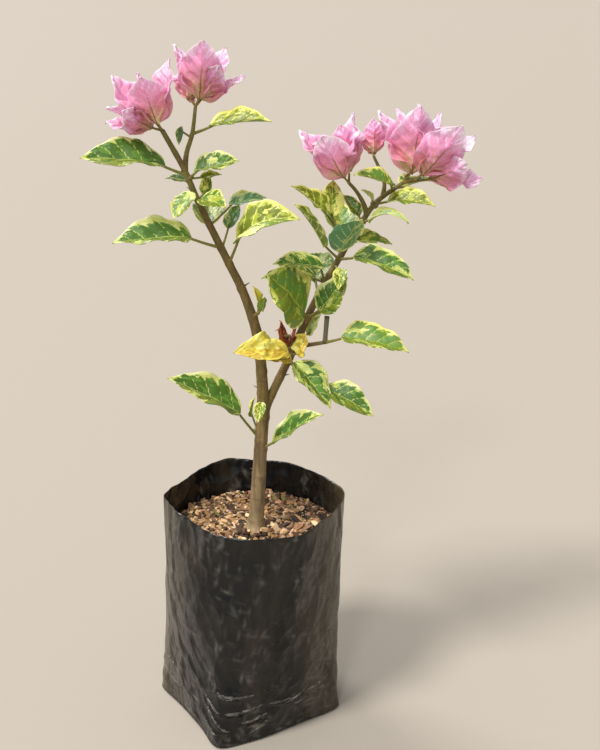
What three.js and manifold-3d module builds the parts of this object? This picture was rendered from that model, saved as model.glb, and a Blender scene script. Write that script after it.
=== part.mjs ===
// Young variegated bougainvillea in a black polythene grow bag.
// One woody stem rises from the potting mix and forks into a left leader and a right bough.
// Leaf sprays stand along both, and the ends and side twigs carry papery three-bract blossom.
//
// Millimetres, +Z up. The origin is the middle of the bag's flat underside and the front faces -Y.
// Directions are given as [heading, rise]: heading 0 is +X, 90 is +Y, rise is degrees above level.

import * as THREE from "three";
import { mergeVertices } from "three/addons/utils/BufferGeometryUtils.js";
import Module from "manifold-3d";

const wasm = await Module();
wasm.setup();
const { Manifold, Mesh: SolidMesh } = wasm;

// ---- driving dimensions ---------------------------------------------------------------

const GAP = 0.3;                       // clearance between neighbouring solids

const BAG = {
  height: 154, mouthRadius: 60.5,      // the tube of film is 377 mm round
  mouthCentre: [5, 3.5],               // the mouth leans a little off the base
  baseHalfSide: 46.5, baseTurn: 33,    // gusseted square base, turned on the ground
  baseSharpness: 10,                   // how square the rounded corners are
  wall: 0.8, floor: 0.8, around: 40,
  rimTilt: 1.6, rimWave: 0.8,
};
const WALL_LEVELS = [3, 34, 80, 127];

const SOIL = { level: 132, bump: 1.8, rings: [0.97, 0.82, 0.62, 0.42], flatRadius: 9 };

// Centre lines and diameters by height. The stem runs on through the fork as the left leader.
const STEM = {
  path: [[5.7, 1, 128], [6, 1, 132], [8, 1, 160], [10, 1, 190], [12, 1, 217], [11.5, 0, 237],
    [9, -2, 267], [0.5, -4, 296], [-7.5, -6, 314], [-25, -9, 353], [-32, -10, 371],
    [-44, -11, 394]],
  girth: [[132, 12.6], [135, 10.8], [140, 9.9], [160, 9.4], [217, 7.6], [267, 6.6], [300, 5.2],
    [341, 4.1], [394, 2.9]],
  fork: 217, steps: 30,
};
const BOUGH = {
  path: [[11, 1, 210], [15.5, 2, 222], [25, 4, 242], [34, 6, 262], [44, 8, 284], [58.5, 10, 311],
    [70, 11, 330], [82, 11, 348], [98, 11, 360]],
  girth: [[210, 5.8], [262, 5], [311, 3.9], [347, 3.3], [360, 2.4]],
  steps: 16,
};

// Side twigs that carry blossom: the first point lies on the limb's centre line.
const LEFT_TWIG = {
  path: [[-32, -10, 370], [-31, -5, 380], [-27.5, -3, 391], [-25, -3, 407]],
  girth: [[370, 3.2], [407, 2]], steps: 8,
};
const RIGHT_TWIG = {
  path: [[76.5, 11, 340], [75, 10, 346], [70, 8, 355], [65, 6, 361]],
  girth: [[340, 2.8], [361, 2]], steps: 6,
};
const MIDDLE_TWIG = {
  path: [[86, 11, 351], [87, 15, 360], [81, 24, 374]],
  girth: [[351, 2.4], [374, 1.8]], steps: 5,
};

// Blades. Width is a share of the length, full is how blunt the outline is, angles in degrees.
const LEAF = { width: 0.62, full: 0.85, fold: 36, bend: 18, roll: 24, thick: 0.9,
  stalkThick: 1.9, facets: 2 };
const BRACT = { width: 0.76, full: 0.66, fold: 0, bend: -30, thick: 0.8, stalkThick: 1.7,
  rows: 3, facets: 1 };

// ---- directions, seeded variation -----------------------------------------------------

const rad = (degrees) => degrees * Math.PI / 180;
const vec = (p) => new THREE.Vector3(...p);

function heading([turn, rise]) {
  return new THREE.Vector3(Math.cos(rad(turn)) * Math.cos(rad(rise)),
    Math.sin(rad(turn)) * Math.cos(rad(rise)), Math.sin(rad(rise)));
}

// Small differences between leaves: the same numbers for the same seed, from -1 to 1.
function variation(seed) {
  let state = seed;
  return () => {
    state = (state * 1664525 + 1013904223) % 4294967296;
    return state / 2147483648 - 1;
  };
}

function alongTable(table, at) {
  const next = Math.max(1, table.findIndex(([height]) => height >= at));
  if (at >= table[table.length - 1][0]) return table[table.length - 1][1];
  const [[h0, v0], [h1, v1]] = [table[next - 1], table[next]];
  return v0 + (v1 - v0) * Math.max(0, at - h0) / (h1 - h0);
}

// ---- solids from three.js geometry ----------------------------------------------------

function solid(geometry) {
  const bare = new THREE.BufferGeometry();
  bare.setAttribute("position", geometry.getAttribute("position").clone());
  bare.setIndex([...geometry.index.array]);
  const welded = mergeVertices(bare, 1e-4);
  const corners = [];
  for (let i = 0; i < welded.index.count; i += 3) {
    const [a, b, c] = [0, 1, 2].map((k) => welded.index.getX(i + k));
    if (a !== b && b !== c && c !== a) corners.push(a, b, c);
  }
  const build = (order) => new Manifold(new SolidMesh({
    numProp: 3, vertProperties: new Float32Array(welded.attributes.position.array),
    triVerts: new Uint32Array(order) }));
  const body = build(corners);
  if (body.volume() > 0) return body;
  return build(corners.map((_, i) => corners[i - (i % 3) + (2 - (i % 3))]));
}

function toGeometry(body) {
  const mesh = body.getMesh();
  const geometry = new THREE.BufferGeometry();
  geometry.setAttribute("position", new THREE.BufferAttribute(mesh.vertProperties, 3));
  geometry.setIndex(new THREE.BufferAttribute(mesh.triVerts, 1));
  geometry.computeVertexNormals();
  return geometry;
}

function reshape(geometry, place) {
  const position = geometry.attributes.position;
  for (let i = 0; i < position.count; i++) {
    const moved = place(position.getX(i), position.getY(i), position.getZ(i));
    position.setXYZ(i, moved.x, moved.y, moved.z);
  }
  return geometry;
}

// A round tapering rod along a curve, flat at both ends.
function rod(curve, radiusAt, sides, steps) {
  const frames = curve.computeFrenetFrames(steps, false);
  const bar = new THREE.CylinderGeometry(1, 1, 1, sides, steps);
  return solid(reshape(bar, (x, y, z) => {
    const step = Math.round((y + 0.5) * steps);
    const centre = curve.getPointAt(step / steps);
    const radius = radiusAt(centre, step / steps);
    return centre.addScaledVector(frames.normals[step], x * radius)
      .addScaledVector(frames.binormals[step], z * radius);
  }));
}

// ---- blades: leaves and bracts --------------------------------------------------------

// Half width from the stalk (0) to the drip tip (1), widest a little before the middle.
function outline(u, full) {
  return 0.06 + 0.94 * Math.sin(Math.PI * Math.pow(u, 0.74)) ** full * (1 - 0.1 * u);
}

// A folded, arching blade. `face` is the side its upper surface looks to.
function blade(root, along, face, size) {
  const { length, width, full, bend, fold, thick, rows, facets } = size;
  const side = new THREE.Vector3().crossVectors(face, along).normalize();
  const arch = rad(bend) || 1e-3;
  const slope = (u) => arch / 2 - arch * u;
  const sheet = new THREE.BoxGeometry(2, thick, 1, facets, 1, rows);
  return solid(reshape(sheet, (across, up, run) => {
    const u = Math.min(1, Math.max(0, run + 0.5));
    const half = Math.max(0.9, width / 2 * (u > 0.999 ? 0.05 : outline(u, full)));
    const normal = face.clone().multiplyScalar(Math.cos(slope(u)))
      .addScaledVector(along, -Math.sin(slope(u)));
    const forward = length / arch * (Math.sin(arch / 2) - Math.sin(slope(u)));
    const lift = length / arch * (Math.cos(slope(u)) - Math.cos(arch / 2));
    return root.clone().addScaledVector(along, forward).addScaledVector(face, lift)
      .addScaledVector(side, across * half * Math.cos(rad(fold)))
      .addScaledVector(normal, Math.abs(across) * half * Math.sin(rad(fold)) + up);
  }));
}

function stalk(from, to, sag, thick, steps = 2) {
  const middle = from.clone().lerp(to, 0.5).add(new THREE.Vector3(0, 0, sag));
  const curve = new THREE.QuadraticBezierCurve3(from, middle, to);
  return rod(curve, (_, t) => thick / 2 * (1.1 - 0.2 * t), 4, sag ? steps : 1);
}

// A leaf on its stalk. Left and right leaves roll so that their upper faces look forward.
function leaf(foot, spec, vary) {
  const [turn, rise, length] = spec.blade;
  const root = foot.clone().addScaledVector(heading(spec.stalk), spec.stalk[2]);
  const along = heading([turn, rise]);
  const level = new THREE.Vector3(-Math.sin(rad(turn)), Math.cos(rad(turn)), 0);
  const up = new THREE.Vector3().crossVectors(along, level);
  const side = Math.cos(rad(turn)) < 0 ? -1 : 1;
  const roll = rad(spec.roll ?? side * LEAF.roll) + 0.06 * vary();
  const face = up.multiplyScalar(Math.cos(roll)).addScaledVector(level, -Math.sin(roll));
  const width = length * (spec.width ?? LEAF.width) * (1 + 0.05 * vary());
  const size = { ...LEAF, length, width, fold: spec.fold ?? LEAF.fold,
    bend: (spec.bend ?? LEAF.bend) + 3 * vary(), rows: length > 20 ? 4 : 3 };
  const into = root.clone().addScaledVector(along, 2.5 * Math.cos(rad(size.bend / 2)))
    .addScaledVector(face, 2.5 * Math.sin(rad(size.bend / 2)));
  const thick = Math.min(LEAF.stalkThick, 1.3 + length / 60);
  return [stalk(foot, into, spec.sag ?? -0.6, thick), blade(root, along, face, size)];
}

// One blossom: three bracts set round an axis on a small bud, opening from it by `open` degrees.
function flower(foot, spec, vary) {
  const root = foot.clone().addScaledVector(heading(spec.stalk), spec.stalk[2]);
  const axis = heading(spec.axis);
  const level = Math.abs(axis.z) < 0.95 ? new THREE.Vector3(0, 0, 1) : new THREE.Vector3(0, 1, 0);
  const first = new THREE.Vector3().crossVectors(level, axis).normalize();
  const second = new THREE.Vector3().crossVectors(axis, first);
  const bud = rod(new THREE.LineCurve3(root.clone().addScaledVector(axis, -1.5),
    root.clone().addScaledVector(axis, 2.5)), () => BRACT.stalkThick, 6, 1);
  const pieces = [stalk(foot, root, -0.5, BRACT.stalkThick), bud];
  for (let bract = 0; bract < 3; bract++) {
    const turn = rad(spec.turn + 120 * bract) + 0.1 * vary();
    const open = rad(spec.open) + 0.08 * vary();
    const out = first.clone().multiplyScalar(Math.cos(turn))
      .addScaledVector(second, Math.sin(turn));
    const along = axis.clone().multiplyScalar(Math.cos(open)).addScaledVector(out, Math.sin(open));
    const face = axis.clone().multiplyScalar(Math.sin(open)).addScaledVector(out, -Math.cos(open));
    const length = spec.size * (1 + 0.05 * vary());
    const base = root.clone().addScaledVector(out, 0.8);
    const width = length * (spec.width ?? BRACT.width);
    pieces.push(blade(base, along, face, { ...BRACT, length, width }));
  }
  return pieces;
}

// ---- grow bag and potting mix ---------------------------------------------------------

// Distance from the middle to the film, which goes from a rounded square to a circle.
function filmRadius(turn, height) {
  const rise = Math.min(1, Math.max(0, height / BAG.height));
  const local = turn - rad(BAG.baseTurn);
  const n = BAG.baseSharpness;
  const square = BAG.baseHalfSide
    / (Math.abs(Math.cos(local)) ** n + Math.abs(Math.sin(local)) ** n) ** (1 / n);
  const blend = rise ** 0.75;
  return square * (1 - blend) + BAG.mouthRadius * blend;
}

function onFilm(geometry, lift = () => 0) {
  geometry.rotateX(Math.PI / 2);
  return reshape(geometry, (x, y, z) => {
    const turn = Math.atan2(y, x);
    const share = Math.hypot(x, y) / BAG.mouthRadius;
    const reach = share * filmRadius(turn, z);
    const lean = z / BAG.height;
    return new THREE.Vector3(reach * Math.cos(turn) + BAG.mouthCentre[0] * lean,
      reach * Math.sin(turn) + BAG.mouthCentre[1] * lean, z + lift(turn, share, z));
  });
}

function growBag() {
  const outer = BAG.mouthRadius, inner = outer - BAG.wall;
  const profile = [[0, 0], [outer - 2, 0], ...WALL_LEVELS.map((z) => [outer, z]),
    [outer, BAG.height], [inner, BAG.height], ...[...WALL_LEVELS].reverse().map((z) => [inner, z]),
    [inner - 2, BAG.floor], [0, BAG.floor]];
  const film = new THREE.LatheGeometry(profile.map(([r, z]) => new THREE.Vector2(r, z)), BAG.around);
  return solid(onFilm(film, (turn, share, z) => z < BAG.height - 1 ? 0
    : BAG.rimTilt * Math.sin(turn) + BAG.rimWave * Math.sin(3 * turn + 1)));
}

function pottingMix() {
  const side = BAG.mouthRadius - BAG.wall - 1.6 * GAP;
  const vary = variation(7);
  const profile = [[0, BAG.floor + GAP], [side - 2.2, BAG.floor + GAP],
    ...WALL_LEVELS.map((z) => [side, z + 0.2]), ...SOIL.rings.map((r) => [r * side, SOIL.level]),
    [SOIL.flatRadius, SOIL.level], [0, SOIL.level]].reverse();
  const fill = new THREE.LatheGeometry(profile.map(([r, z]) => new THREE.Vector2(r, z)), BAG.around);
  const bumps = Array.from({ length: BAG.around * 8 }, () => vary());
  const lumpy = (turn, share, z) => {
    if (z < SOIL.level - 1 || share * side < SOIL.flatRadius + 2) return 0;
    const sector = Math.round((turn / (2 * Math.PI) + 1) * BAG.around) % BAG.around;
    return SOIL.bump * bumps[sector * 8 + Math.round(share * 7)];
  };
  // The flat patch that the stem stands on is set under the stem's foot.
  const [footX, footY] = STEM.path[0];
  const ground = solid(onFilm(fill, lumpy));
  const patch = new THREE.CylinderGeometry(SOIL.flatRadius, SOIL.flatRadius + 3, 6, 16);
  patch.rotateX(Math.PI / 2).translate(footX, footY, SOIL.level - 3);
  const above = new THREE.CylinderGeometry(SOIL.flatRadius - 1, SOIL.flatRadius - 1, 8, 16);
  above.rotateX(Math.PI / 2).translate(footX, footY, SOIL.level + 4);
  return ground.add(solid(patch)).subtract(solid(above));
}

// ---- limbs ----------------------------------------------------------------------------

const limbOn = ({ path, girth, steps }) => ({
  curve: new THREE.CatmullRomCurve3(path.map(vec), false, "centripetal"), girth, steps,
});
const LIMBS = {
  stem: limbOn(STEM), bough: limbOn(BOUGH),
  leftTwig: limbOn(LEFT_TWIG), rightTwig: limbOn(RIGHT_TWIG), middleTwig: limbOn(MIDDLE_TWIG),
};

// The point of a limb's centre line at a height, found by halving.
function onLimb(limb, height) {
  let low = 0, high = 1;
  for (let i = 0; i < 40; i++) {
    const middle = (low + high) / 2;
    if (limb.curve.getPointAt(middle).z < height) low = middle; else high = middle;
  }
  return low;
}

function limbSolid(limb, swell = 0) {
  return rod(limb.curve, (centre) => alongTable(limb.girth, centre.z) / 2 + swell, 9, limb.steps);
}

// The stem is cut level at the ground and square across at the fork.
const wholeStem = limbSolid(LIMBS.stem);
const forkPoint = onLimb(LIMBS.stem, STEM.fork);
const forkNormal = LIMBS.stem.curve.getTangentAt(forkPoint).toArray();
const forkOffset = vec(forkNormal).dot(LIMBS.stem.curve.getPointAt(forkPoint));
const downward = forkNormal.map((n) => -n);
const trunk = wholeStem.trimByPlane([0, 0, 1], SOIL.level + GAP).trimByPlane(downward, -forkOffset);
const leftLeader = wholeStem.trimByPlane(forkNormal, forkOffset + GAP);

// Each limb a little swollen and longer: what grows from a limb is cut back to this.
function clearanceOf(limb) {
  const [tip, onward] = [limb.curve.getPointAt(1), limb.curve.getTangentAt(1)];
  const cap = new THREE.LineCurve3(tip.clone().addScaledVector(onward, -1),
    tip.clone().addScaledVector(onward, GAP * 1.1));
  const radius = limb.girth[limb.girth.length - 1][1] / 2 + GAP;
  return limbSolid(limb, GAP * 1.1).add(rod(cap, () => radius, 9, 1));
}

const CLEARANCE = Object.fromEntries(
  Object.entries(LIMBS).map(([name, limb]) => [name, clearanceOf(limb)]));
const rightBough = limbSolid(LIMBS.bough).subtract(CLEARANCE.stem);
const leftTwig = limbSolid(LIMBS.leftTwig).subtract(CLEARANCE.stem);
const rightTwig = limbSolid(LIMBS.rightTwig).subtract(CLEARANCE.bough);
const middleTwig = limbSolid(LIMBS.middleTwig).subtract(CLEARANCE.bough);

// ---- sprays of leaves -----------------------------------------------------------------

// limb and height: where the spray's stem leaves the limb. shoot: heading, rise and length of a
// woody side shoot, where there is one. stalk and blade: heading, rise, length of each leaf.
const SPRAYS = [
  { name: "low_left_leaves", limb: "stem", height: 195, leaves: [
    { stalk: [208, 56, 26], blade: [193, 31, 53], bend: 12 },
    { stalk: [196, 70, 18], blade: [335, 80, 14] }] },
  { name: "low_right_leaf", limb: "stem", height: 189, leaves: [
    { stalk: [322, 32, 12], blade: [338, 36, 43] }] },
  { name: "fork_leaf", limb: "stem", height: 211, leaves: [
    { stalk: [268, 58, 16], blade: [256, -48, 14], roll: 0 }] },
  { name: "leader_shoot_leaves", limb: "stem", height: 279, shoot: [308, 35, 4], leaves: [
    { stalk: [290, 60, 5], blade: [180, 75, 14] },
    { stalk: [304, 24, 6], blade: [282, 62, 12] }] },
  { name: "arching_leaf", limb: "stem", height: 314, leaves: [
    { stalk: [307, 57, 18], blade: [342, 22, 46], bend: 84, roll: 36, width: 0.62 }] },
  { name: "pale_back_leaf", limb: "stem", height: 323, leaves: [
    { stalk: [73, 44, 15], blade: [48, 52, 17] }] },
  { name: "left_middle_leaf", limb: "stem", height: 324, leaves: [
    { stalk: [203, 23, 20], blade: [195, -1, 47] }] },
  { name: "left_cluster_leaves", limb: "stem", height: 350, shoot: [262, 30, 4], leaves: [
    { stalk: [300, 25, 6], blade: [318, -6, 21], roll: 30, width: 0.76 },
    { stalk: [225, 60, 7], blade: [222, -44, 20], roll: 0, width: 0.84 }] },
  { name: "left_upright_leaf", limb: "stem", height: 353, leaves: [
    { stalk: [17, 30, 5], blade: [66, 70, 14] }] },
  { name: "grey_back_leaf", limb: "stem", height: 338, leaves: [
    { stalk: [51, 29, 20], blade: [20, 7, 24] }] },
  { name: "small_back_leaf", limb: "stem", height: 363, leaves: [
    { stalk: [110, 4, 8], blade: [150, 0, 16] }] },
  { name: "yellow_edged_leaves", limb: "stem", height: 366, leaves: [
    { stalk: [314, 38, 7], blade: [352, 15, 28], roll: 30, width: 0.74 },
    { stalk: [332, 6, 8], blade: [10, 8, 13] }] },
  { name: "left_top_leaf", limb: "stem", height: 368, leaves: [
    { stalk: [199, 25, 14], blade: [192, 7, 49] }] },
  { name: "left_twig_leaf", limb: "leftTwig", height: 391, leaves: [
    { stalk: [328, 22, 14], blade: [342, 6, 38] }] },
  { name: "left_twig_small_leaf", limb: "leftTwig", height: 389, leaves: [
    { stalk: [150, 42, 9], blade: [240, -72, 11], roll: 0, width: 0.5 }] },
  { name: "yellow_leaves", limb: "bough", height: 252, leaves: [
    { stalk: [264, 22, 13], blade: [203, 8, 37], roll: -34, bend: 30 },
    { stalk: [276, 0, 8], blade: [204, 4, 16], roll: -40 },
    { stalk: [306, 8, 9], blade: [338, 72, 17], roll: 0, width: 0.72 }] },
  { name: "pale_upright_leaf", limb: "bough", height: 262, leaves: [
    { stalk: [20, 10, 8], blade: [14, 61, 18] }] },
  { name: "right_middle_spray", limb: "bough", height: 257, shoot: [342, 14, 18], leaves: [
    { stalk: [330, 25, 13], blade: [346, -9, 43] }], stub: [0, 86, 17] },
  { name: "lower_right_leaves", limb: "bough", height: 248, leaves: [
    { stalk: [290, 12, 11], blade: [336, -46, 37] },
    { stalk: [338, -30, 29], blade: [345, -27, 36] }] },
  { name: "bough_front_leaves", limb: "bough", height: 276, leaves: [
    { stalk: [259, 29, 13], blade: [212, 47, 39], bend: 30, roll: -49, width: 0.95, fold: 20 },
    { stalk: [307, 17, 11], blade: [346, 64, 29], roll: 0, width: 0.72 },
    { stalk: [316, 10, 13], blade: [352, 50, 28] }] },
  { name: "bough_left_leaves", limb: "bough", height: 298, leaves: [
    { stalk: [134, 13, 9], blade: [185, 0, 34] },
    { stalk: [262, 60, 13], blade: [196, 8, 33] }] },
  { name: "small_folded_leaf", limb: "bough", height: 309, leaves: [
    { stalk: [285, 5, 12], blade: [262, -42, 16], roll: 0 }] },
  { name: "tall_centre_leaf", limb: "bough", height: 313, leaves: [
    { stalk: [228, 36, 17], blade: [208, 54, 35], roll: -20 }] },
  { name: "long_twig_leaves", limb: "bough", height: 319, shoot: [214, 64, 15], leaves: [
    { stalk: [220, 55, 7], blade: [190, 40, 31], width: 0.66 },
    { stalk: [120, 50, 6], blade: [82, 74, 23], roll: 0, width: 0.8 }] },
  { name: "round_grey_leaf", limb: "bough", height: 318, leaves: [
    { stalk: [256, 10, 16], blade: [330, 54, 27], roll: -24, width: 0.95, fold: 16 }] },
  { name: "right_curled_leaves", limb: "bough", height: 336, leaves: [
    { stalk: [100, 20, 7], blade: [150, 46, 17] },
    { stalk: [300, 8, 8], blade: [333, 4, 30], bend: 105, width: 0.36 }] },
  { name: "right_low_leaf", limb: "bough", height: 313, leaves: [
    { stalk: [314, 16, 13], blade: [345, -18, 40], bend: 30 }] },
  { name: "right_back_leaf", limb: "bough", height: 322, leaves: [
    { stalk: [57, 4, 9], blade: [20, -9, 26] }] },
  { name: "right_tip_leaves", limb: "bough", height: 347, leaves: [
    { stalk: [330, 16, 9], blade: [344, -3, 30], bend: 40 },
    { stalk: [262, 30, 6], blade: [198, 41, 11] }] },
  { name: "right_top_leaf", limb: "bough", height: 356, leaves: [
    { stalk: [266, 24, 10], blade: [204, 17, 28] }] },
  { name: "leader_back_leaf", limb: "stem", height: 330, leaves: [
    { stalk: [110, 20, 14], blade: [96, 12, 36], roll: 0 }] },
  { name: "bough_back_leaf", limb: "bough", height: 290, leaves: [
    { stalk: [98, 20, 14], blade: [84, 14, 42], roll: 0 }] },
  { name: "bough_back_upper_leaf", limb: "bough", height: 316, leaves: [
    { stalk: [80, 30, 16], blade: [100, 24, 40], roll: 0 }] },
  { name: "tip_back_leaf", limb: "bough", height: 357, leaves: [
    { stalk: [60, -8, 11], blade: [52, 0, 32], roll: 0 }] },
];

// Blossom stands at the ends of the limbs and twigs: stalked flowers from one point.
const BLOSSOMS = [
  { name: "left_outer_blossom", limb: "stem", flowers: [
    { stalk: [191, 13, 6], axis: [195, 39], open: 38, turn: -5, size: 26 },
    { stalk: [256, 34, 8], axis: [205, 75], open: 33, turn: 155, size: 36 },
    { stalk: [170, 53, 9], axis: [172, 45], open: 35, turn: 70, size: 27 }] },
  { name: "left_inner_blossom", limb: "leftTwig", flowers: [
    { stalk: [324, 53, 5], axis: [65, 81], open: 31, turn: 157, size: 35 },
    { stalk: [25, 43, 5], axis: [10, 57], open: 33, turn: 52, size: 28 },
    { stalk: [122, 21, 8], axis: [89, 51], open: 29, turn: 79, size: 25 }] },
  { name: "right_inner_blossom", limb: "rightTwig", flowers: [
    { stalk: [229, 37, 6], axis: [180, 70], open: 34, turn: -7, size: 38 },
    { stalk: [76, 61, 7], axis: [146, 63], open: 28, turn: 50, size: 31 }] },
  { name: "right_middle_blossom", limb: "middleTwig", flowers: [
    { stalk: [90, 60, 2], axis: [99, 50], open: 27, turn: 93, size: 22 }] },
  { name: "right_outer_blossom", limb: "bough", flowers: [
    { stalk: [321, 46, 8], axis: [82, 75], open: 27, turn: 156, size: 44, width: 0.76 },
    { stalk: [326, 22, 14], axis: [10, 62], open: 32, turn: 60, size: 42, width: 0.66 },
    { stalk: [351, 8, 17], axis: [352, 34], open: 36, turn: 60, size: 31 },
    { stalk: [50, 40, 13], axis: [40, 52], open: 42, turn: 50, size: 36 }] },
];

// A spent blossom left near the foot of the bough.
const DRIED = { name: "dried_blossom", limb: "bough", height: 252,
  flower: { stalk: [212, 66, 6], axis: [200, 84], open: 24, turn: 0, size: 17, width: 0.4 } };

// How far a stalk runs inside its limb before it comes out of the side.
function insideLimb(name, height, direction) {
  const limb = LIMBS[name];
  const tangent = limb.curve.getTangentAt(onLimb(limb, height));
  const across = new THREE.Vector3().crossVectors(direction, tangent).length();
  return alongTable(limb.girth, height) / 2 / Math.max(0.3, across);
}

// Fused in one and cut clear of the limb that it grows from. Cut-off scraps are dropped.
function clearOf(limb, pieces) {
  const fused = Manifold.union(pieces).subtract(CLEARANCE[limb]).simplify(0.08);
  return fused.decompose().reduce((best, part) => (part.volume() > best.volume() ? part : best));
}

function spraySolid(spray, seed) {
  const vary = variation(seed);
  const limb = LIMBS[spray.limb];
  const start = limb.curve.getPointAt(onLimb(limb, spray.height));
  const stems = [], blades = [];
  let foot = start;
  if (spray.shoot) {
    const reach = insideLimb(spray.limb, spray.height, heading(spray.shoot)) + spray.shoot[2];
    foot = start.clone().addScaledVector(heading(spray.shoot), reach);
    stems.push(stalk(start, foot.clone().addScaledVector(heading(spray.shoot), 0.6), 0, 3));
  } else if (spray.leaves.length > 1) {
    // Stalks that leave the limb side by side share a swollen bud.
    const out = new THREE.Vector3();
    spray.leaves.forEach((spec) => out.add(heading(spec.stalk)));
    const reach = insideLimb(spray.limb, spray.height, out.normalize()) + 2;
    stems.push(stalk(start, start.clone().addScaledVector(out, reach), 0, 4));
  }
  if (spray.stub) {
    const top = foot.clone().addScaledVector(heading(spray.stub), spray.stub[2]);
    stems.push(stalk(foot, top, 0, 3.4));
  }
  for (const spec of spray.leaves) {
    const [stem, sheet] = leaf(foot, spec, vary);
    stems.push(stem);
    blades.push(sheet);
  }
  return clearOf(spray.limb, [...stems, ...blades]);
}

function blossomSolid(blossom, seed) {
  const vary = variation(seed);
  const tip = LIMBS[blossom.limb].curve.getPointAt(1);
  const stems = [], blades = [];
  for (const spec of blossom.flowers) {
    const [stem, ...rest] = flower(tip, spec, vary);
    stems.push(stem);
    blades.push(...rest);
  }
  // The stalks part from a bud that carries on from the limb's end.
  const onward = LIMBS[blossom.limb].curve.getTangentAt(1);
  stems.push(stalk(tip, tip.clone().addScaledVector(onward, 2.4), 0, 4));
  return clearOf(blossom.limb, [...stems, ...blades]);
}

function driedSolid({ limb, height, flower: spec }) {
  const start = LIMBS[limb].curve.getPointAt(onLimb(LIMBS[limb], height));
  return clearOf(limb, flower(start, spec, variation(151)));
}

// ---- the plant ------------------------------------------------------------------------

const finish = (color, roughness, metalness = 0) =>
  new THREE.MeshStandardMaterial({ color, roughness, metalness, flatShading: true });
const FILM = finish("#1d1d1c", 0.38);
const MIX = finish("#7a5a40", 0.95);
const BARK = finish("#8a7049", 0.8);
const GREEN_BARK = finish("#77702f", 0.75);
const LEAVES = finish("#7f9b3c", 0.55);
const BRACTS = finish("#e39ac4", 0.6);
const DRY = finish("#8a3f2c", 0.8);

const plant = new THREE.Group();
plant.name = "potted_bougainvillea";

function place(name, body, material) {
  const mesh = new THREE.Mesh(toGeometry(body), material);
  mesh.name = name;
  plant.add(mesh);
}

place("grow_bag", growBag(), FILM);
place("potting_mix", pottingMix(), MIX);
place("trunk", trunk, BARK);
place("left_leader", leftLeader, GREEN_BARK);
place("right_bough", rightBough, GREEN_BARK);
place("left_twig", leftTwig, GREEN_BARK);
place("right_twig", rightTwig, GREEN_BARK);
place("middle_twig", middleTwig, GREEN_BARK);
SPRAYS.forEach((spray, i) => place(spray.name, spraySolid(spray, 11 + i), LEAVES));
BLOSSOMS.forEach((blossom, i) => place(blossom.name, blossomSolid(blossom, 101 + i), BRACTS));
place(DRIED.name, driedSolid(DRIED), DRY);

export default plant;
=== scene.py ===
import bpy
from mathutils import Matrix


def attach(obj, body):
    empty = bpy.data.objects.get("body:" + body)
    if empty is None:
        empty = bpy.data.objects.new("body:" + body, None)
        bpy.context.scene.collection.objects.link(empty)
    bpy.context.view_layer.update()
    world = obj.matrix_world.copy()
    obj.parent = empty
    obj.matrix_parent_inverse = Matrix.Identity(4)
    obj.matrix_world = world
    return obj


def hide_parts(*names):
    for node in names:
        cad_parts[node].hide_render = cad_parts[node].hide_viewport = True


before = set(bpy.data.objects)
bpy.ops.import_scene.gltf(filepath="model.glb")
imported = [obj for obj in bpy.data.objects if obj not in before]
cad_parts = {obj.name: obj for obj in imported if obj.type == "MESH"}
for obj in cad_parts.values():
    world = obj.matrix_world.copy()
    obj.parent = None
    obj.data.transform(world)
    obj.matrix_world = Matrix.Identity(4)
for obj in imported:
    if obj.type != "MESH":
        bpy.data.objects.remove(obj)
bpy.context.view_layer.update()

import math

import bmesh
import bpy
from mathutils import Matrix, Vector, noise

# ---- camera -----------------------------------------------------------------------------
# It stands a little higher than the blossom and looks down at the bag, level from side to
# side. The lens is a normal one, and from this height the bag's mouth shows as a shallow oval.
CAMERA_PLACE, CAMERA_DIP, LENS_LENGTH, SENSOR_WIDTH = (0.0356, -0.651, 0.4707), 19.5, 52.27, 36
camera_lens = bpy.data.cameras.new("camera")
camera_lens.sensor_width = SENSOR_WIDTH
camera_lens.lens = LENS_LENGTH
camera = bpy.data.objects.new("camera", camera_lens)
camera.location = CAMERA_PLACE
camera.rotation_euler = (math.radians(90 - CAMERA_DIP), 0, 0)
bpy.context.scene.collection.objects.link(camera)
bpy.context.scene.camera = camera

# ---- studio floor and light -------------------------------------------------------------
# The plant stands on a wide pale painted floor, which isn't part of it. A large soft lamp
# shines from high at the front left, one at the back left lights the papery blossom through
# and a weak one in front shows the film. Pale walls, brighter overhead, fill the shadows.
FLOOR_COLOUR, FLOOR_BELOW, FLOOR_REACH = (0.38, 0.34, 0.292), 0.0003, 90


def linear(code):
    """A colour written as six hexadecimal digits, as the light values that a shader takes."""
    steps = [int(code[i:i + 2], 16) / 255 for i in (0, 2, 4)]
    return [c / 12.92 if c < 0.04045 else ((c + 0.055) / 1.055) ** 2.4 for c in steps] + [1]


def plain_finish(name, colour, rough, **sockets):
    """A finish of one colour. Any other socket of the shader is set by its name."""
    finish = bpy.data.materials.new(name)
    finish.use_nodes = True
    shader = finish.node_tree.nodes["Principled BSDF"]
    shader.inputs["Base Color"].default_value = colour
    shader.inputs["Roughness"].default_value = rough
    for socket, value in sockets.items():
        shader.inputs[socket.replace("_", " ")].default_value = value
    return finish


def finished_object(name, shape, finishes, smooth=True):
    """Makes the object from a bmesh, at the origin, with its finishes in their order."""
    mesh = bpy.data.meshes.new(name)
    for face in shape.faces:
        face.smooth = smooth
    shape.to_mesh(mesh)
    shape.free()
    made = bpy.data.objects.new(name, mesh)
    for finish in finishes:
        mesh.materials.append(finish)
    bpy.context.scene.collection.objects.link(made)
    return made


floor_shape = bmesh.new()
bmesh.ops.create_grid(floor_shape, x_segments=4, y_segments=4, size=FLOOR_REACH)
bmesh.ops.translate(floor_shape, verts=floor_shape.verts, vec=(0, 0, -FLOOR_BELOW))
floor = finished_object("studio_floor", floor_shape,
                        [plain_finish("floor_paint", (*FLOOR_COLOUR, 1), 0.85)])


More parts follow.
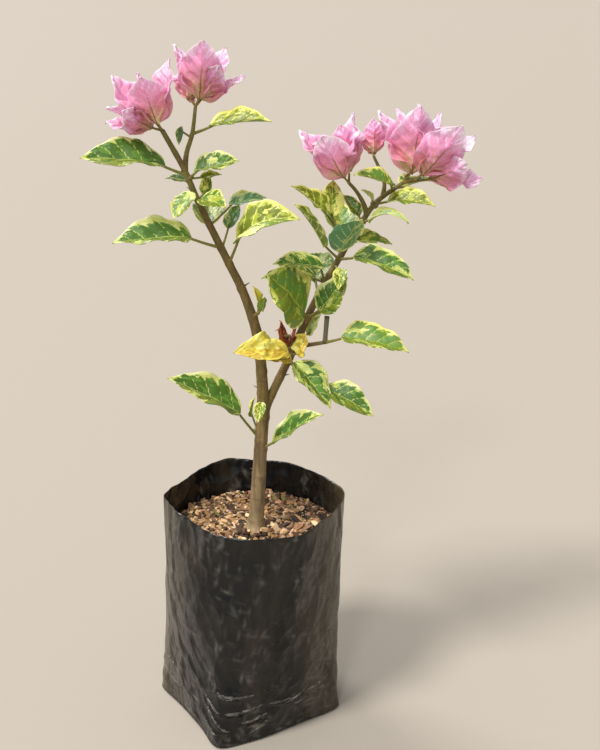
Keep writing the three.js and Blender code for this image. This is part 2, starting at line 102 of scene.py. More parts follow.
def soft_lamp(name, place, strength, spread, colour):
    """A lamp far off in the direction of place, as wide as spread says, in degrees."""
    lamp = bpy.data.lights.new(name, "SUN")
    lamp.energy, lamp.angle, lamp.color = strength, math.radians(spread), colour
    stand = bpy.data.objects.new(name, lamp)
    stand.location = place
    stand.rotation_euler = Vector(place).to_track_quat("Z", "Y").to_euler()
    bpy.context.scene.collection.objects.link(stand)


soft_lamp("key_light", (-0.62, -0.5, 1.15), 2.9, 14, (1, 0.965, 0.91))
soft_lamp("back_light", (-0.85, 0.85, 0.9), 2.0, 22, (1, 0.98, 0.95))
soft_lamp("front_light", (-0.3, -1.2, 0.9), 0.75, 9, (0.94, 0.97, 1))
walls = bpy.data.worlds.new("pale_walls")
walls.use_nodes = True
walls.node_tree.nodes["Background"].inputs["Color"].default_value = (1, 0.98, 0.95, 1)
walls_way = walls.node_tree.nodes.new("ShaderNodeTexCoord")
walls_parts = walls.node_tree.nodes.new("ShaderNodeSeparateXYZ")
walls_glow = walls.node_tree.nodes.new("ShaderNodeMapRange")
for socket, value in (("From Min", -0.1), ("From Max", 0.8), ("To Min", 0.17), ("To Max", 0.6)):
    walls_glow.inputs[socket].default_value = value
walls.node_tree.links.new(walls_way.outputs["Generated"], walls_parts.inputs["Vector"])
walls.node_tree.links.new(walls_parts.outputs["Z"], walls_glow.inputs["Value"])
walls.node_tree.links.new(walls_glow.outputs["Result"],
                          walls.node_tree.nodes["Background"].inputs["Strength"])
bpy.context.scene.world = walls
bpy.context.scene.view_settings.view_transform = "Standard"

# ---- grow bag ---------------------------------------------------------------------------
# A tube of thin black polythene film, gusseted and sealed across the base, so that it stands
# square at the foot and round at the mouth. The filling pushes it out and leaves curved
# creases low on the wall and short slanting ones at the corners. It is dusty and scuffed, and
# highlights on its creases and a reflection of the floor down its sides are painted on it.
BAG_HEIGHT, MOUTH_RADIUS, MOUTH_CENTRE = 154, 60.5, (5, 3.5)
BASE_HALF_SIDE, BASE_TURN, BASE_SHARPNESS = 46.5, math.radians(33), 10
FILM_THICK, BAG_AROUND = 0.45, 288
# The limp rim isn't a true circle: every 10 degrees, how far it falls in and how far it rises.
MOUTH_IN = (0, 0.5, 1.7, 2.7, 4.6, 4.6, 3, 1.2, 0, 0, 0, -0.6, -1, 1.5, 4.2, 5, 4.6, 2.1,
            -0.4, 2.5, 5.2, 6.3, 6.2, 5.6, 3.4, 0, 0, -0.3, -0.6, -1.5, -1.6, 0, 2.1, 2.7, 2.6, 0.8)
MOUTH_UP = (0, 0, 0, 0, 0, 0, -0.2, -0.8, -0.9, -0.7, 0.5, 1.5, 0.3, 0, 0, 0, 0, 0,
            0, 0, 0, 0, 0, 0, 0, 0, -0.7, -1, -1, -0.8, -1, 0, 0, 0, 0, 0)
# The corners of its foot are pulled a little aside: turn in degrees, then along X and Y in mm.
FOOT_PULLS = ((168, -3.6, 0), (258, -5, 1.5), (348, 2.8, 0))
# The rows of its wall lie close together from the rounded foot up to FINE_TO, where the
# creases are sharp, and the wall waves in and out above RIM_FROM. All are in mm.
WALL_FROM, FINE_TO, ROW_STEP, RIM_FROM = 2.4, 48.4, 0.64, 120
LOW_ROWS, HIGH_ROWS = 72, 60
MM = 0.001


def variation(seed):
    """Small differences: the same numbers from -1 to 1 for the same seed."""
    state = seed
    while True:
        state = (state * 1664525 + 1013904223) % 4294967296
        yield state / 2147483648 - 1


def round_the_mouth(table, turn):
    """The value of a table of the rim at this turn, smooth between its entries."""
    place = math.degrees(turn) / 10 % 36
    part = place - int(place)
    part = part * part * (3 - 2 * part)
    return table[int(place)] * (1 - part) + table[(int(place) + 1) % 36] * part


def film_radius(turn, height):
    """From the middle to the film, in mm: a rounded square at the base, a limp circle at the
    mouth."""
    rise = min(1, max(0, height / BAG_HEIGHT))
    local = turn - BASE_TURN
    n = BASE_SHARPNESS
    square = BASE_HALF_SIDE / (abs(math.cos(local)) ** n + abs(math.sin(local)) ** n) ** (1 / n)
    blend = rise ** 0.75
    limp = max(0, (rise - 0.62) / 0.38) ** 1.6
    return square * (1 - blend) + MOUTH_RADIUS * blend - limp * round_the_mouth(MOUTH_IN, turn)


def film_sway(turn, height):
    """Slow waves in the wall, in mm."""
    here = Vector((math.cos(turn) * 1.7, math.sin(turn) * 1.7, height / 34))
    settle = min(1, max(0, height - 2) / 12)
    return settle * (1.1 * noise.noise(here) + 0.35 * noise.noise(here * 3.1)) - 0.5


def turn_between(a, b):
    """The shorter way round from turn b to turn a, in radians."""
    return (a - b + math.pi) % (2 * math.pi) - math.pi


bag_chance = variation(301)
# Each crease: where it lies round the bag, its height, how far it runs to each side in
# radians, how much its ends rise in mm, its slope, how far it stands out and its width.
creases = []
for low, high, count, tall in ((6, 40, 34, 1.7), (38, 90, 34, 0.9), (80, 148, 26, 0.5)):
    for _ in range(count):
        creases.append((
            math.pi * next(bag_chance), low + (high - low) * (0.5 + 0.5 * next(bag_chance)),
            0.24 + 0.14 * next(bag_chance), 4 + 5 * next(bag_chance), 12 * next(bag_chance),
            tall * (1 + 0.4 * next(bag_chance)), 1.1 + 0.5 * tall + 0.35 * next(bag_chance)))
# The film hangs in deeper folds that run down into the four corners of the base.
for corner, share in ((0, 0.6), (1, 0.15), (2, 1.15), (3, 0.25)):
    middle = BASE_TURN + math.radians(45 + 90 * corner)
    for off, level, reach, slope, tall in (
            (-10, 12, 0.26, -34, 2.0), (-8, 21, 0.3, -38, 2.6), (-12, 31, 0.3, -36, 2.2),
            (-26, 42, 0.28, -26, 1.5), (14, 27, 0.3, 8, 2.2), (18, 18, 0.3, 14, 2.0),
            (6, 39, 0.36, -8, 1.8), (27, 34, 0.26, 8, 1.5), (20, 10, 0.26, 24, 1.8)):
        creases.append((middle + math.radians(off), level, reach * (1 + 0.15 * next(bag_chance)),
                        2, slope * (1 + 0.2 * next(bag_chance)), tall * share, 2.1))


def crease_height(turn, height):
    """How far the creases lift the film here, in mm."""
    lift = 0
    for middle, level, reach, rise, slope, tall, wide in creases:
        along = turn_between(turn, middle) / reach
        if abs(along) < 1:
            away = (height - level - rise * along * along - slope * along * reach) / wide
            if abs(away) < 6:
                lift += tall * (1 - along * along) ** 2 / (1 + away * away) ** 1.5
    # Creases that cross don't pile up, and the film lies smoother on its left and right sides.
    lift = 2.3 * (1 - math.exp(-lift / 2.3))
    smooth = max(math.exp(-(turn_between(turn, math.radians(side)) / 0.4) ** 2)
                 for side in (184, 356))
    return lift * (1 - 0.8 * smooth)


def crease_crest(turn, height):
    """How near this is to the upper side of a tall crease, where a highlight is painted, from 0 to 1.
    """
    nearest = 0
    for middle, level, reach, rise, slope, tall, wide in creases:
        along = turn_between(turn, middle) / reach
        if tall > 1.9 and abs(along) < 0.75:
            away = height - level - rise * along * along - slope * along * reach - 0.3 * wide
            nearest = max(nearest, (1 - 1.7 * along * along) * (1 - abs(away) / 1.35))
    return nearest


def bag_point(turn, share, height):
    """A point of the film, in metres. share is 1 on the wall and less across the base."""
    reach = share * film_radius(turn, height)
    if share == 1 and height > 2:
        reach += film_sway(turn, height) + min(1, (height - 2) / 8) * crease_height(turn, height)
    lean = height / BAG_HEIGHT
    rim = 0
    if height > RIM_FROM:
        near = ((height - RIM_FROM) / (BAG_HEIGHT - RIM_FROM)) ** 2
        rim = near * (round_the_mouth(MOUTH_UP, turn) + 0.25 * math.sin(7 * turn))
        reach += near * 0.5 * math.sin(11 * turn)
    x = reach * math.cos(turn) + MOUTH_CENTRE[0] * lean
    y = reach * math.sin(turn) + MOUTH_CENTRE[1] * lean
    for corner, aside, back in FOOT_PULLS:
        close = math.exp(-(turn_between(turn, math.radians(corner)) / 0.3) ** 2 - height / 30)
        x, y = x + share * close * aside, y + share * close * back
    return Vector((x, y, height + rim)) * MM


def wrapped(around, rows, place, paint=None):
    """A grid rolled round into a closed tube. place gives a point for (turn, row), and paint
    gives the finish of a face there."""
    shape = bmesh.new()
    bmesh.ops.create_grid(shape, x_segments=around, y_segments=rows - 1, size=1)
    if paint:
        for face in shape.faces:
            middle = face.calc_center_median()
            face.material_index = paint(math.pi * middle.x, int((middle.y + 1) / 2 * (rows - 1)))
    for corner in shape.verts:
        turn = math.pi * corner.co.x
        if turn > math.pi - 1e-4:
            turn = -math.pi
        corner.co = place(turn, round((corner.co.y + 1) / 2 * (rows - 1)))
    bmesh.ops.remove_doubles(shape, verts=shape.verts, dist=2e-6)
    return shape


# The film's rows, from the middle of the base out to the foot and up the wall: share, height.
bag_levels = [(0, 0), (0.35, 0), (0.7, 0), (0.9, 0), (0.965, 0), (0.985, 0.25), (0.997, 1.1)]
bag_levels += [(1, WALL_FROM + ROW_STEP * row) for row in range(LOW_ROWS)]
bag_levels += [(1, FINE_TO + (BAG_HEIGHT - FINE_TO) * row / HIGH_ROWS)
               for row in range(HIGH_ROWS + 1)]


def film_crest_highlight(turn, row):
    """1 where a highlight is painted on the crest of a crease, 0 elsewhere."""
    share, height = bag_levels[row]
    if share < 1 or height > 60:
        return 0
    patchy = noise.noise(Vector((math.cos(turn) * 7, math.sin(turn) * 7, height / 5)))
    return int(crease_crest(turn, height) > 0.42 + 0.5 * patchy)


# Faces on the crests of the tall creases take the second finish, a painted highlight.
bag_shape = wrapped(BAG_AROUND, len(bag_levels),
                    lambda turn, row: bag_point(turn, *bag_levels[row]), film_crest_highlight)
bmesh.ops.recalc_face_normals(bag_shape, faces=bag_shape.faces)
bmesh.ops.solidify(bag_shape, geom=bag_shape.faces, thickness=FILM_THICK * MM)


def pattern(finish, kind, scale, stretch=(1, 1, 1), slant=0, **values):
    """A noise or cell pattern on the piece's own coordinates, stretched along its axes and
    slanted to the side by some degrees."""
    tree = finish.node_tree
    where = tree.nodes.new("ShaderNodeTexCoord")
    frame_of = tree.nodes.new("ShaderNodeMapping")
    frame_of.vector_type = "TEXTURE"
    frame_of.inputs["Scale"].default_value = [1 / part for part in stretch]
    frame_of.inputs["Rotation"].default_value = (0, math.radians(slant), 0)
    tree.links.new(where.outputs["Object"], frame_of.inputs["Vector"])
    node = tree.nodes.new(kind)
    node.inputs["Scale"].default_value = scale
    for socket, value in values.items():
        node.inputs[socket].default_value = value
    tree.links.new(frame_of.outputs["Vector"], node.inputs["Vector"])
    return node


def ramp(finish, source, stops):
    """Turns a value into a colour. stops are (place, colour)."""
    node = finish.node_tree.nodes.new("ShaderNodeValToRGB")
    while len(node.color_ramp.elements) < len(stops):
        node.color_ramp.elements.new(0.5)
    for element, (place, colour) in zip(node.color_ramp.elements, stops):
        element.position, element.color = place, colour
    finish.node_tree.links.new(source, node.inputs["Fac"])
    return node.outputs["Color"]


def mixed(finish, share, under, over, how="MIX"):
    """over laid on under, as far as share says."""
    node = finish.node_tree.nodes.new("ShaderNodeMix")
    node.data_type, node.blend_type = "RGBA", how
    for socket, value in ((node.inputs["Factor"], share), (node.inputs[6], under),
                          (node.inputs[7], over)):
        if isinstance(value, bpy.types.NodeSocket):
            finish.node_tree.links.new(value, socket)
        else:
            socket.default_value = value
    return node.outputs[2]


def relief(finish, source, strength, depth, under=None):
    """Fine bumps in the surface, depth in metres."""
    node = finish.node_tree.nodes.new("ShaderNodeBump")
    node.inputs["Strength"].default_value = strength
    node.inputs["Distance"].default_value = depth
    finish.node_tree.links.new(source, node.inputs["Height"])
    if under:
        finish.node_tree.links.new(under, node.inputs["Normal"])
    return node.outputs["Normal"]


def connect(finish, socket, source):
    """Lets a source say what a socket of the finish's shader is."""
    shader = finish.node_tree.nodes["Principled BSDF"]
    finish.node_tree.links.new(source, shader.inputs[socket])


def grey(level):
    """A share from 0 to 1, written as the colour that a ramp or a mix takes."""
    return (level, level, level, 1)


def spread_between(finish, source, low, high):
    """0 where the source is low, 1 where it is high and even between them."""
    node = finish.node_tree.nodes.new("ShaderNodeMapRange")
    node.inputs["From Min"].default_value, node.inputs["From Max"].default_value = low, high
    finish.node_tree.links.new(source, node.inputs["Value"])
    return node.outputs["Result"]


film = plain_finish("black_film", linear("151618"), 0.3, Specular_IOR_Level=0.36)
film_clouds = pattern(film, "ShaderNodeTexNoise", 24, Detail=5, Roughness=0.65, Distortion=0.8)
film_runs = pattern(film, "ShaderNodeTexNoise", 34, (1, 1, 0.16), Detail=4, Roughness=0.6)
film_facets = pattern(film, "ShaderNodeTexVoronoi", 58, (1, 1, 0.75))
film_small_facets = pattern(film, "ShaderNodeTexVoronoi", 130, (1, 1, 0.7))
# Short stroke cells give the scuffs and painted glints; the long ones, painted highlight streaks.
film_scuff_and_glint_marks = [pattern(film, "ShaderNodeTexVoronoi", 150 + 14 * step, (1, 1, 0.3), slant)
              for step, slant in enumerate((-24, 31, -72, 8))]
film_highlight_streaks = pattern(film, "ShaderNodeTexVoronoi", 120, (0.3, 0.3, 1.5), 12)
film_patches = pattern(film, "ShaderNodeTexNoise", 60, (1, 1, 0.7), Detail=3, Distortion=0.5)
film_grain = pattern(film, "ShaderNodeTexNoise", 420, Detail=3)
film_base = ramp(film, film_clouds.outputs["Fac"],
                 [(0.34, linear("07090c")), (0.52, linear("0d0e10")), (0.7, linear("1c1a17"))])
film_dust = ramp(film, film_runs.outputs["Fac"], [(0.5, grey(0)), (0.76, grey(0.3))])
film_base = mixed(film, film_dust, film_base, linear("5a4f3c"))
# Its left and right sides are paler brown in runs: a painted reflection of the floor.
film_place = film.node_tree.nodes.new("ShaderNodeTexCoord")
film_parts = film.node_tree.nodes.new("ShaderNodeSeparateXYZ")
film_aside = film.node_tree.nodes.new("ShaderNodeMath")
film_aside.operation = "ABSOLUTE"
film.node_tree.links.new(film_place.outputs["Object"], film_parts.inputs["Vector"])
film.node_tree.links.new(film_parts.outputs["X"], film_aside.inputs[0])
film_at_side = spread_between(film, film_aside.outputs["Value"], 0.036, 0.064)
film_side_reflection = ramp(film, film_runs.outputs["Fac"], [(0.36, grey(0.08)), (0.66, grey(0.7))])
film_base = mixed(film, mixed(film, film_at_side, grey(0), film_side_reflection), film_base,
                  linear("6b5f4a"))
# Short pale strokes, here and there, are handling scuffs and also painted glints of the crinkled
# film.
film_wear_and_glint_patches = ramp(film, film_patches.outputs["Fac"], [(0.46, grey(0)), (0.62, grey(0.62))])
for marks in film_scuff_and_glint_marks:
    marked = ramp(film, marks.outputs["Distance"],
                  [(0.05, grey(1)), (0.18, grey(0.4)), (0.36, grey(0))])
    film_base = mixed(film, mixed(film, 1.0, marked, film_wear_and_glint_patches, "MULTIPLY"), film_base,
                      linear("615f59"))
# Longer pale streaks low on the wall are painted highlights along the low creases.
film_at_foot = spread_between(film, film_parts.outputs["Z"], 0.06, 0.02)
film_painted_streaks = ramp(film, film_highlight_streaks.outputs["Distance"],
                     [(0.08, grey(0.75)), (0.2, grey(0.3)), (0.34, grey(0))])
film_foot_highlight_patches = mixed(film, film_at_foot, grey(0), film_wear_and_glint_patches)
film_painted_streaks = mixed(film, 1.0, film_painted_streaks, film_foot_highlight_patches, "MULTIPLY")
film_base = mixed(film, film_painted_streaks, film_base, linear("8f8a7e"))
connect(film, "Base Color", film_base)
connect(film, "Roughness", ramp(film, film_clouds.outputs["Fac"],
        [(0.3, grey(0.2)), (0.7, grey(0.36))]))
connect(film, "Normal", relief(film, film_facets.outputs["Distance"], 0.8, 0.005,
        relief(film, film_small_facets.outputs["Distance"], 0.6, 0.0024,
               relief(film, film_grain.outputs["Fac"], 0.2, 0.0002))))

# The upper sides of the tall creases get a pale finish: a painted highlight.
crest_highlight_film = plain_finish("crest_highlight_film", linear("6b6861"), 0.5)
crest_highlight_noise = pattern(crest_highlight_film, "ShaderNodeTexNoise", 240, (1, 1, 2), Detail=4, Roughness=0.7)
connect(crest_highlight_film, "Base Color", ramp(crest_highlight_film, crest_highlight_noise.outputs["Fac"], [
    (0.36, linear("1d1d1d")), (0.52, linear("55534e")), (0.68, linear("918e84"))]))
connect(crest_highlight_film, "Normal", relief(crest_highlight_film, crest_highlight_noise.outputs["Fac"], 0.4, 0.0006))
bag = finished_object("grow_bag_film", bag_shape, [film, crest_highlight_film])
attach(bag, "root")
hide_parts("grow_bag")

# ---- potting mix ------------------------------------------------------------------------
# Loose bark, crumbs of soil and brick, and coir, tipped in up to 20 mm below the rim.
# A lumpy bed fills the bag from side to side, and chips of many sizes lie on it.
SOIL_LEVEL, BED_DEPTH, BED_REACH, FILM_GAP = 131, 10, 55, 1.4
CHIP_COUNT, LARGE_CHIP_EVERY = 2250, 10
STEM_FOOT, STEM_CLEAR = (5.7, 1), 6.2


def soil_height(x, y):
    """The lumpy surface of the bed, in mm. It rises a little round the stem."""
    here = Vector((x / 14, y / 14, 3.7))
    near = math.exp(-((x - STEM_FOOT[0]) ** 2 + (y - STEM_FOOT[1]) ** 2) / 260)
    return SOIL_LEVEL + 1.6 * noise.noise(here) + 0.8 * noise.noise(here * 2.7) + 1.2 * near


def inside_bag(turn, share, height):
    """The place in mm at this turn and this share of the way from the middle to the film."""
    reach = share * (film_radius(turn, height) + film_sway(turn, height) - FILM_GAP)
    lean = height / BAG_HEIGHT
    return (reach * math.cos(turn) + MOUTH_CENTRE[0] * lean,
            reach * math.sin(turn) + MOUTH_CENTRE[1] * lean)


# The bed's rows, from the middle of its underside out and back over its top: share, level.
soil_rows = [(0, 0), (0.5, 0), (0.97, 0), (1, 3), (1, 7)]
soil_rows += [(0.985 * (1 - step / 26), BED_DEPTH) for step in range(27)]


def soil_point(turn, row):
    """A point of the bed, in metres."""
    share, level = soil_rows[row]
    x, y = inside_bag(turn, share, SOIL_LEVEL)
    height = soil_height(x, y) if level == BED_DEPTH else SOIL_LEVEL - BED_DEPTH + level
    return Vector((x, y, height)) * MM


soil_shape = wrapped(120, len(soil_rows), soil_point)
bmesh.ops.recalc_face_normals(soil_shape, faces=soil_shape.faces)
soil = plain_finish("damp_soil", linear("4a3526"), 0.95)
soil_crumbs = pattern(soil, "ShaderNodeTexNoise", 260, Detail=6, Roughness=0.7)
connect(soil, "Base Color", ramp(soil, soil_crumbs.outputs["Fac"], [
    (0.3, linear("1d130c")), (0.5, linear("463020")), (0.68, linear("87643f"))]))
connect(soil, "Normal", relief(soil, soil_crumbs.outputs["Fac"], 0.9, 0.0015))
soil_bed = finished_object("potting_mix_bed", soil_shape, [soil])
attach(soil_bed, "root")
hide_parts("potting_mix")

# The chips' colours from pale to dark, and how often each comes up.
chip_colours = ["e2c79c", "cba67a", "bb9684", "b08a5e", "a78a6a", "a5765a", "957048", "806045",
                "74683a", "5f4530", "402d1e", "291d14"]
chip_odds = [3, 6, 1, 6, 5, 1, 6, 6, 2, 6, 5, 5]
chip_deal = [index for index, share in enumerate(chip_odds) for _ in range(share)]
chip_chance = variation(401)
chips = bmesh.new()


def join_into(whole, piece):
    """Adds a piece's faces to the whole."""
    spare = bpy.data.meshes.new("spare")
    piece.to_mesh(spare)
    piece.free()
    whole.from_mesh(spare)
    bpy.data.meshes.remove(spare)


def chip_shape(size, detail):
    """One crumb: a flattened ball with uneven corners, sizes in mm."""
    chip = bmesh.new()
    bmesh.ops.create_icosphere(chip, subdivisions=detail, radius=1)
    shift = 40 * next(chip_chance)
    for corner in chip.verts:
        lump = noise.noise(Vector((corner.co.x + shift, corner.co.y, corner.co.z)) * 1.3)
        rough = 1 + 0.7 * lump + 0.16 * next(chip_chance)
        corner.co = Vector([a * b * rough for a, b in zip(corner.co, size)])
    return chip


for number in range(CHIP_COUNT):
    turn = math.pi * next(chip_chance)
    share = math.sqrt(0.5 + 0.5 * next(chip_chance)) * 0.97
    x, y = inside_bag(turn, share, SOIL_LEVEL)
    large = number % LARGE_CHIP_EVERY == 0
    size = 0.75 + 1.05 * (0.5 + 0.5 * next(chip_chance)) ** 1.8 + (1.1 if large else 0)
    stretch = Vector((size * (1.5 + 0.6 * next(chip_chance)), size,
                      size * (0.5 + 0.15 * next(chip_chance))))
    spin, tip, tilt = (2.5 * next(chip_chance), 0.5 * next(chip_chance), 0.5 * next(chip_chance))
    if math.hypot(x - STEM_FOOT[0], y - STEM_FOOT[1]) < STEM_CLEAR + size * 0.7:
        continue
    # Near the film only small chips find room.
    size_cap = max(0.2, min(1, (BED_REACH * (1 - share) + 0.8) / (1.5 * stretch.x)))
    chip = chip_shape(stretch * size_cap, 2 if large else 1)
    for axis, angle in (("X", tip), ("Y", tilt), ("Z", spin)):
        bmesh.ops.rotate(chip, verts=chip.verts, cent=(0, 0, 0),
                         matrix=Matrix.Rotation(angle, 3, axis))
    lift = soil_height(x, y) + size * (0.2 + 0.35 * next(chip_chance))
    bmesh.ops.translate(chip, verts=chip.verts, vec=(x, y, lift))
    bmesh.ops.scale(chip, verts=chip.verts, vec=(MM, MM, MM))
    # The chips are a little darker to the right.
    pick = (0.5 + 0.499 * next(chip_chance)) ** (1.05 - x / 130)
    colour = chip_deal[int(pick * len(chip_deal))]
    for face in chip.faces:
        face.material_index = colour
    join_into(chips, chip)

chip_finishes = [plain_finish(f"chip_{index}", linear(code), 0.9)
                 for index, code in enumerate(chip_colours)]
soil_chips = finished_object("potting_mix_chips", chips, chip_finishes, smooth=False)
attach(soil_chips, "root")
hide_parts("potting_mix")

# ---- woody stem, boughs and twigs -------------------------------------------------------
# One stem rises from a flared foot, forks, and runs on as the left leader beside the right
# bough; three short twigs leave them near the top. The bark is smooth and thin, tan and
# corky at the foot, olive brown higher up and green on the youngest wood, with leaf scars.
# Each limb's centre line as points in mm, and its thickness by height.
LIMB_PATHS = {
    "stem": [(5.7, 1, 128), (6, 1, 132), (8, 1, 160), (10, 1, 190), (12, 1, 217), (11.5, 0, 237),
             (9, -2, 267), (0.5, -4, 296), (-7.5, -6, 314), (-25, -9, 353), (-32, -10, 371),
             (-44, -11, 394)],
    "bough": [(11, 1, 210), (15.5, 2, 222), (25, 4, 242), (34, 6, 262), (44, 8, 284),
              (58.5, 10, 311), (70, 11, 330), (82, 11, 348), (98, 11, 360)],
    "left_twig": [(-32, -10, 370), (-31, -5, 380), (-27.5, -3, 391), (-25, -3, 407)],
    "right_twig": [(76.5, 11, 340), (75, 10, 346), (70, 8, 355), (65, 6, 361)],
    "middle_twig": [(86, 11, 351), (87, 15, 360), (81, 24, 374)],
}
LIMB_GIRTHS = {
    "stem": [(128, 13.4), (132, 12.6), (135, 10.8), (140, 9.9), (160, 9.4), (217, 7.6),
             (267, 6.6), (300, 5.2), (341, 4.1), (394, 2.9)],
    "bough": [(210, 5.8), (262, 5), (311, 3.9), (347, 3.3), (360, 2.4)],
    "left_twig": [(370, 3.2), (407, 2)],
    "right_twig": [(340, 2.8), (361, 2)],
    "middle_twig": [(351, 2.4), (374, 1.8)],
}
FORK, FOOT_TOP = 217, 144


def smooth_line(path, steps=24):
    """A smooth line through the points, closely spaced: a centripetal Catmull-Rom curve."""
    points = [Vector(p) for p in path]
    ends = [2 * points[0] - points[1], *points, 2 * points[-1] - points[-2]]
    line = []
    for index in range(len(points) - 1):
        p0, p1, p2, p3 = ends[index:index + 4]
        d0, d1, d2 = [math.sqrt((b - a).length) for a, b in ((p0, p1), (p1, p2), (p2, p3))]
        out = ((p1 - p0) / d0 - (p2 - p0) / (d0 + d1) + (p2 - p1) / d1) * d1
        into = ((p2 - p1) / d1 - (p3 - p1) / (d1 + d2) + (p3 - p2) / d2) * d1
        for step in range(steps):
            t = step / steps
            line.append(p1 + out * t + (3 * (p2 - p1) - 2 * out - into) * t * t
                        + (2 * (p1 - p2) + out + into) * t ** 3)
    return line + [points[-1]]


def along_table(table, at):
    """The value at a height, between the rows of a table of (height, value)."""
    for (low, first), (high, second) in zip(table, table[1:]):
        if at <= high:
            return first + (second - first) * max(0, at - low) / (high - low)
    return table[-1][1]


def even_steps(line, spacing):
    """The line again, as points the same distance apart."""
    total = sum((b - a).length for a, b in zip(line, line[1:]))
    count = max(2, round(total / spacing))
    points, walked, index = [], 0.0, 0
    for step in range(count + 1):
        goal = min(total * step / count, total - 1e-6)
        while walked + (line[index + 1] - line[index]).length < goal:
            walked += (line[index + 1] - line[index]).length
            index += 1
        part = (goal - walked) / (line[index + 1] - line[index]).length
        points.append(line[index].lerp(line[index + 1], part))
    return points


def tube(whole, centres, radius, sides, colour=0):
    """A round limb along the centres, in mm, closed to a point at both ends and added to the
    whole. radius gives its reach for (row, turn)."""
    rows = len(centres)
    forward = [(centres[min(i + 1, rows - 1)] - centres[max(i - 1, 0)]).normalized()
               for i in range(rows)]
    across = forward[0].orthogonal().normalized()
    frames = []
    for direction in forward:
        across = (across - direction * across.dot(direction)).normalized()
        frames.append((across.copy(), direction.cross(across)))

    def place(turn, row):
        if row in (0, rows + 1):
            return centres[0 if row == 0 else -1] * MM
        first, second = frames[row - 1]
        reach = radius(row - 1, turn)
        return (centres[row - 1] + first * math.cos(turn) * reach
                + second * math.sin(turn) * reach) * MM

    limb = wrapped(sides, rows + 2, place)
    bmesh.ops.recalc_face_normals(limb, faces=limb.faces)
    for face in limb.faces:
        face.material_index = colour
    join_into(whole, limb)


LIMB_LINES = {limb: smooth_line(path) for limb, path in LIMB_PATHS.items()}
# Old leaf scars and buds swell the bark at these heights, on the side of the turn given.
SCARS = {
    "stem": [(148, 1.2), (171, 4.4), (189, 5.6), (195, 3.4), (211, 4.8), (228, 2.2), (243, 5.2),
             (258, 0.6), (279, 5.3), (298, 2.6), (314, 5.3), (324, 3.4), (338, 0.9), (353, 4.4),
             (367, 3.4), (381, 0.4)],
    "bough": [(226, 4.2), (237, 0.8), (250, 5), (262, 0.3), (276, 4.6), (290, 1.6), (303, 4.4),
              (316, 4.6), (323, 0.8), (336, 5), (347, 4.6), (355, 4.4)],
    "left_twig": [(390, 3)], "right_twig": [(350, 4)], "middle_twig": [(362, 2)],
}


def bark_radius(limb, centres, flare):
    """The limb's radius with its bark: long shallow ridges, rings, scars and a swollen foot."""
    table, scars = LIMB_GIRTHS[limb], SCARS[limb]

    def radius(row, turn):
        centre = centres[row]
        height = centre.z
        half = along_table(table, height) / 2
        streak = noise.noise(Vector((math.cos(turn) * 2.2, math.sin(turn) * 2.2, height / 16)))
        fine = noise.noise(Vector((math.cos(turn) * 6, math.sin(turn) * 6, height / 3.5 + 9)))
        old = 1 if limb == "stem" and height < FORK else 0.6
        reach = half * (1 + 0.06 * streak * old + 0.03 * fine * old)
        for level, side in scars:
            away = (height - level) / 1.6
            if abs(away) < 3:
                facing = 0.35 + 0.65 * max(0, math.cos(turn - side)) ** 2
                reach += 0.42 * facing * math.exp(-away * away) * min(1, half / 2.5)
        if limb == "stem" and height < FOOT_TOP:
            foot = ((FOOT_TOP - height) / 12) ** 2
            reach += foot * (0.55 + 0.7 * math.cos(3 * turn + 0.5))
        if limb == "stem":
            reach += 0.5 * math.exp(-((height - FORK) / 7) ** 2)
        if flare:
            reach += flare * math.exp(-row / 5)
        return reach
    return radius


def add_limb(whole, limb, low=0, high=1000, sides=28, flare=0.0):
    """Adds the limb between two heights. flare widens it where it leaves its parent."""
    centres = [c for c in even_steps(LIMB_LINES[limb], 1.0) if low <= c.z <= high]
    tube(whole, centres, bark_radius(limb, centres, flare), sides)


def bark_finish(name, stops):
    """Thin bark: its colour changes with the height, broken by streaks, green patches, rings
    and pale specks."""
    bark = plain_finish(name, linear("6b5a2c"), 0.72)
    tree = bark.node_tree
    where = tree.nodes.new("ShaderNodeTexCoord")
    parts = tree.nodes.new("ShaderNodeSeparateXYZ")
    tree.links.new(where.outputs["Object"], parts.inputs["Vector"])
    by_height = ramp(bark, spread_between(bark, parts.outputs["Z"], 0.13, 0.41), stops)
    streaks = pattern(bark, "ShaderNodeTexNoise", 300, (1, 1, 0.16), Detail=5, Roughness=0.65)
    specks = pattern(bark, "ShaderNodeTexNoise", 700, (1, 1, 0.5), Detail=3)
    patches = pattern(bark, "ShaderNodeTexNoise", 70, Detail=3)
    worn = ramp(bark, streaks.outputs["Fac"],
                [(0.35, (0.55, 0.52, 0.48, 1)), (0.7, (1.35, 1.3, 1.2, 1))])
    toned = mixed(bark, 1.0, by_height, worn, "MULTIPLY")
    greener = ramp(bark, patches.outputs["Fac"], [(0.52, grey(0)), (0.74, grey(0.4))])
    toned = mixed(bark, greener, toned, linear("77743a"))
    bands = pattern(bark, "ShaderNodeTexNoise", 60, (0.35, 0.35, 3.2), Detail=3, Roughness=0.6)
    ringed = ramp(bark, bands.outputs["Fac"], [(0.56, grey(0)), (0.66, grey(0.55))])
    toned = mixed(bark, ringed, toned, linear("6d4a33"))
    pale = ramp(bark, specks.outputs["Fac"], [(0.62, grey(0)), (0.7, grey(0.5))])
    connect(bark, "Base Color", mixed(bark, pale, toned, linear("b39d74")))
    connect(bark, "Normal", relief(bark, streaks.outputs["Fac"], 0.6, 0.0007))
    return bark


BARK_STOPS = [(0, linear("a59373")), (0.08, linear("9a8666")), (0.2, linear("8a7654")),
              (0.34, linear("79653a")), (0.6, linear("6d5b2f")), (0.85, linear("706a30")),
              (1, linear("7a793b"))]
trunk_shape = bmesh.new()
add_limb(trunk_shape, "stem", 0, FORK + 1, sides=36)
trunk = finished_object("trunk_bark", trunk_shape, [bark_finish("old_bark", BARK_STOPS)])
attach(trunk, "root")
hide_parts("trunk")

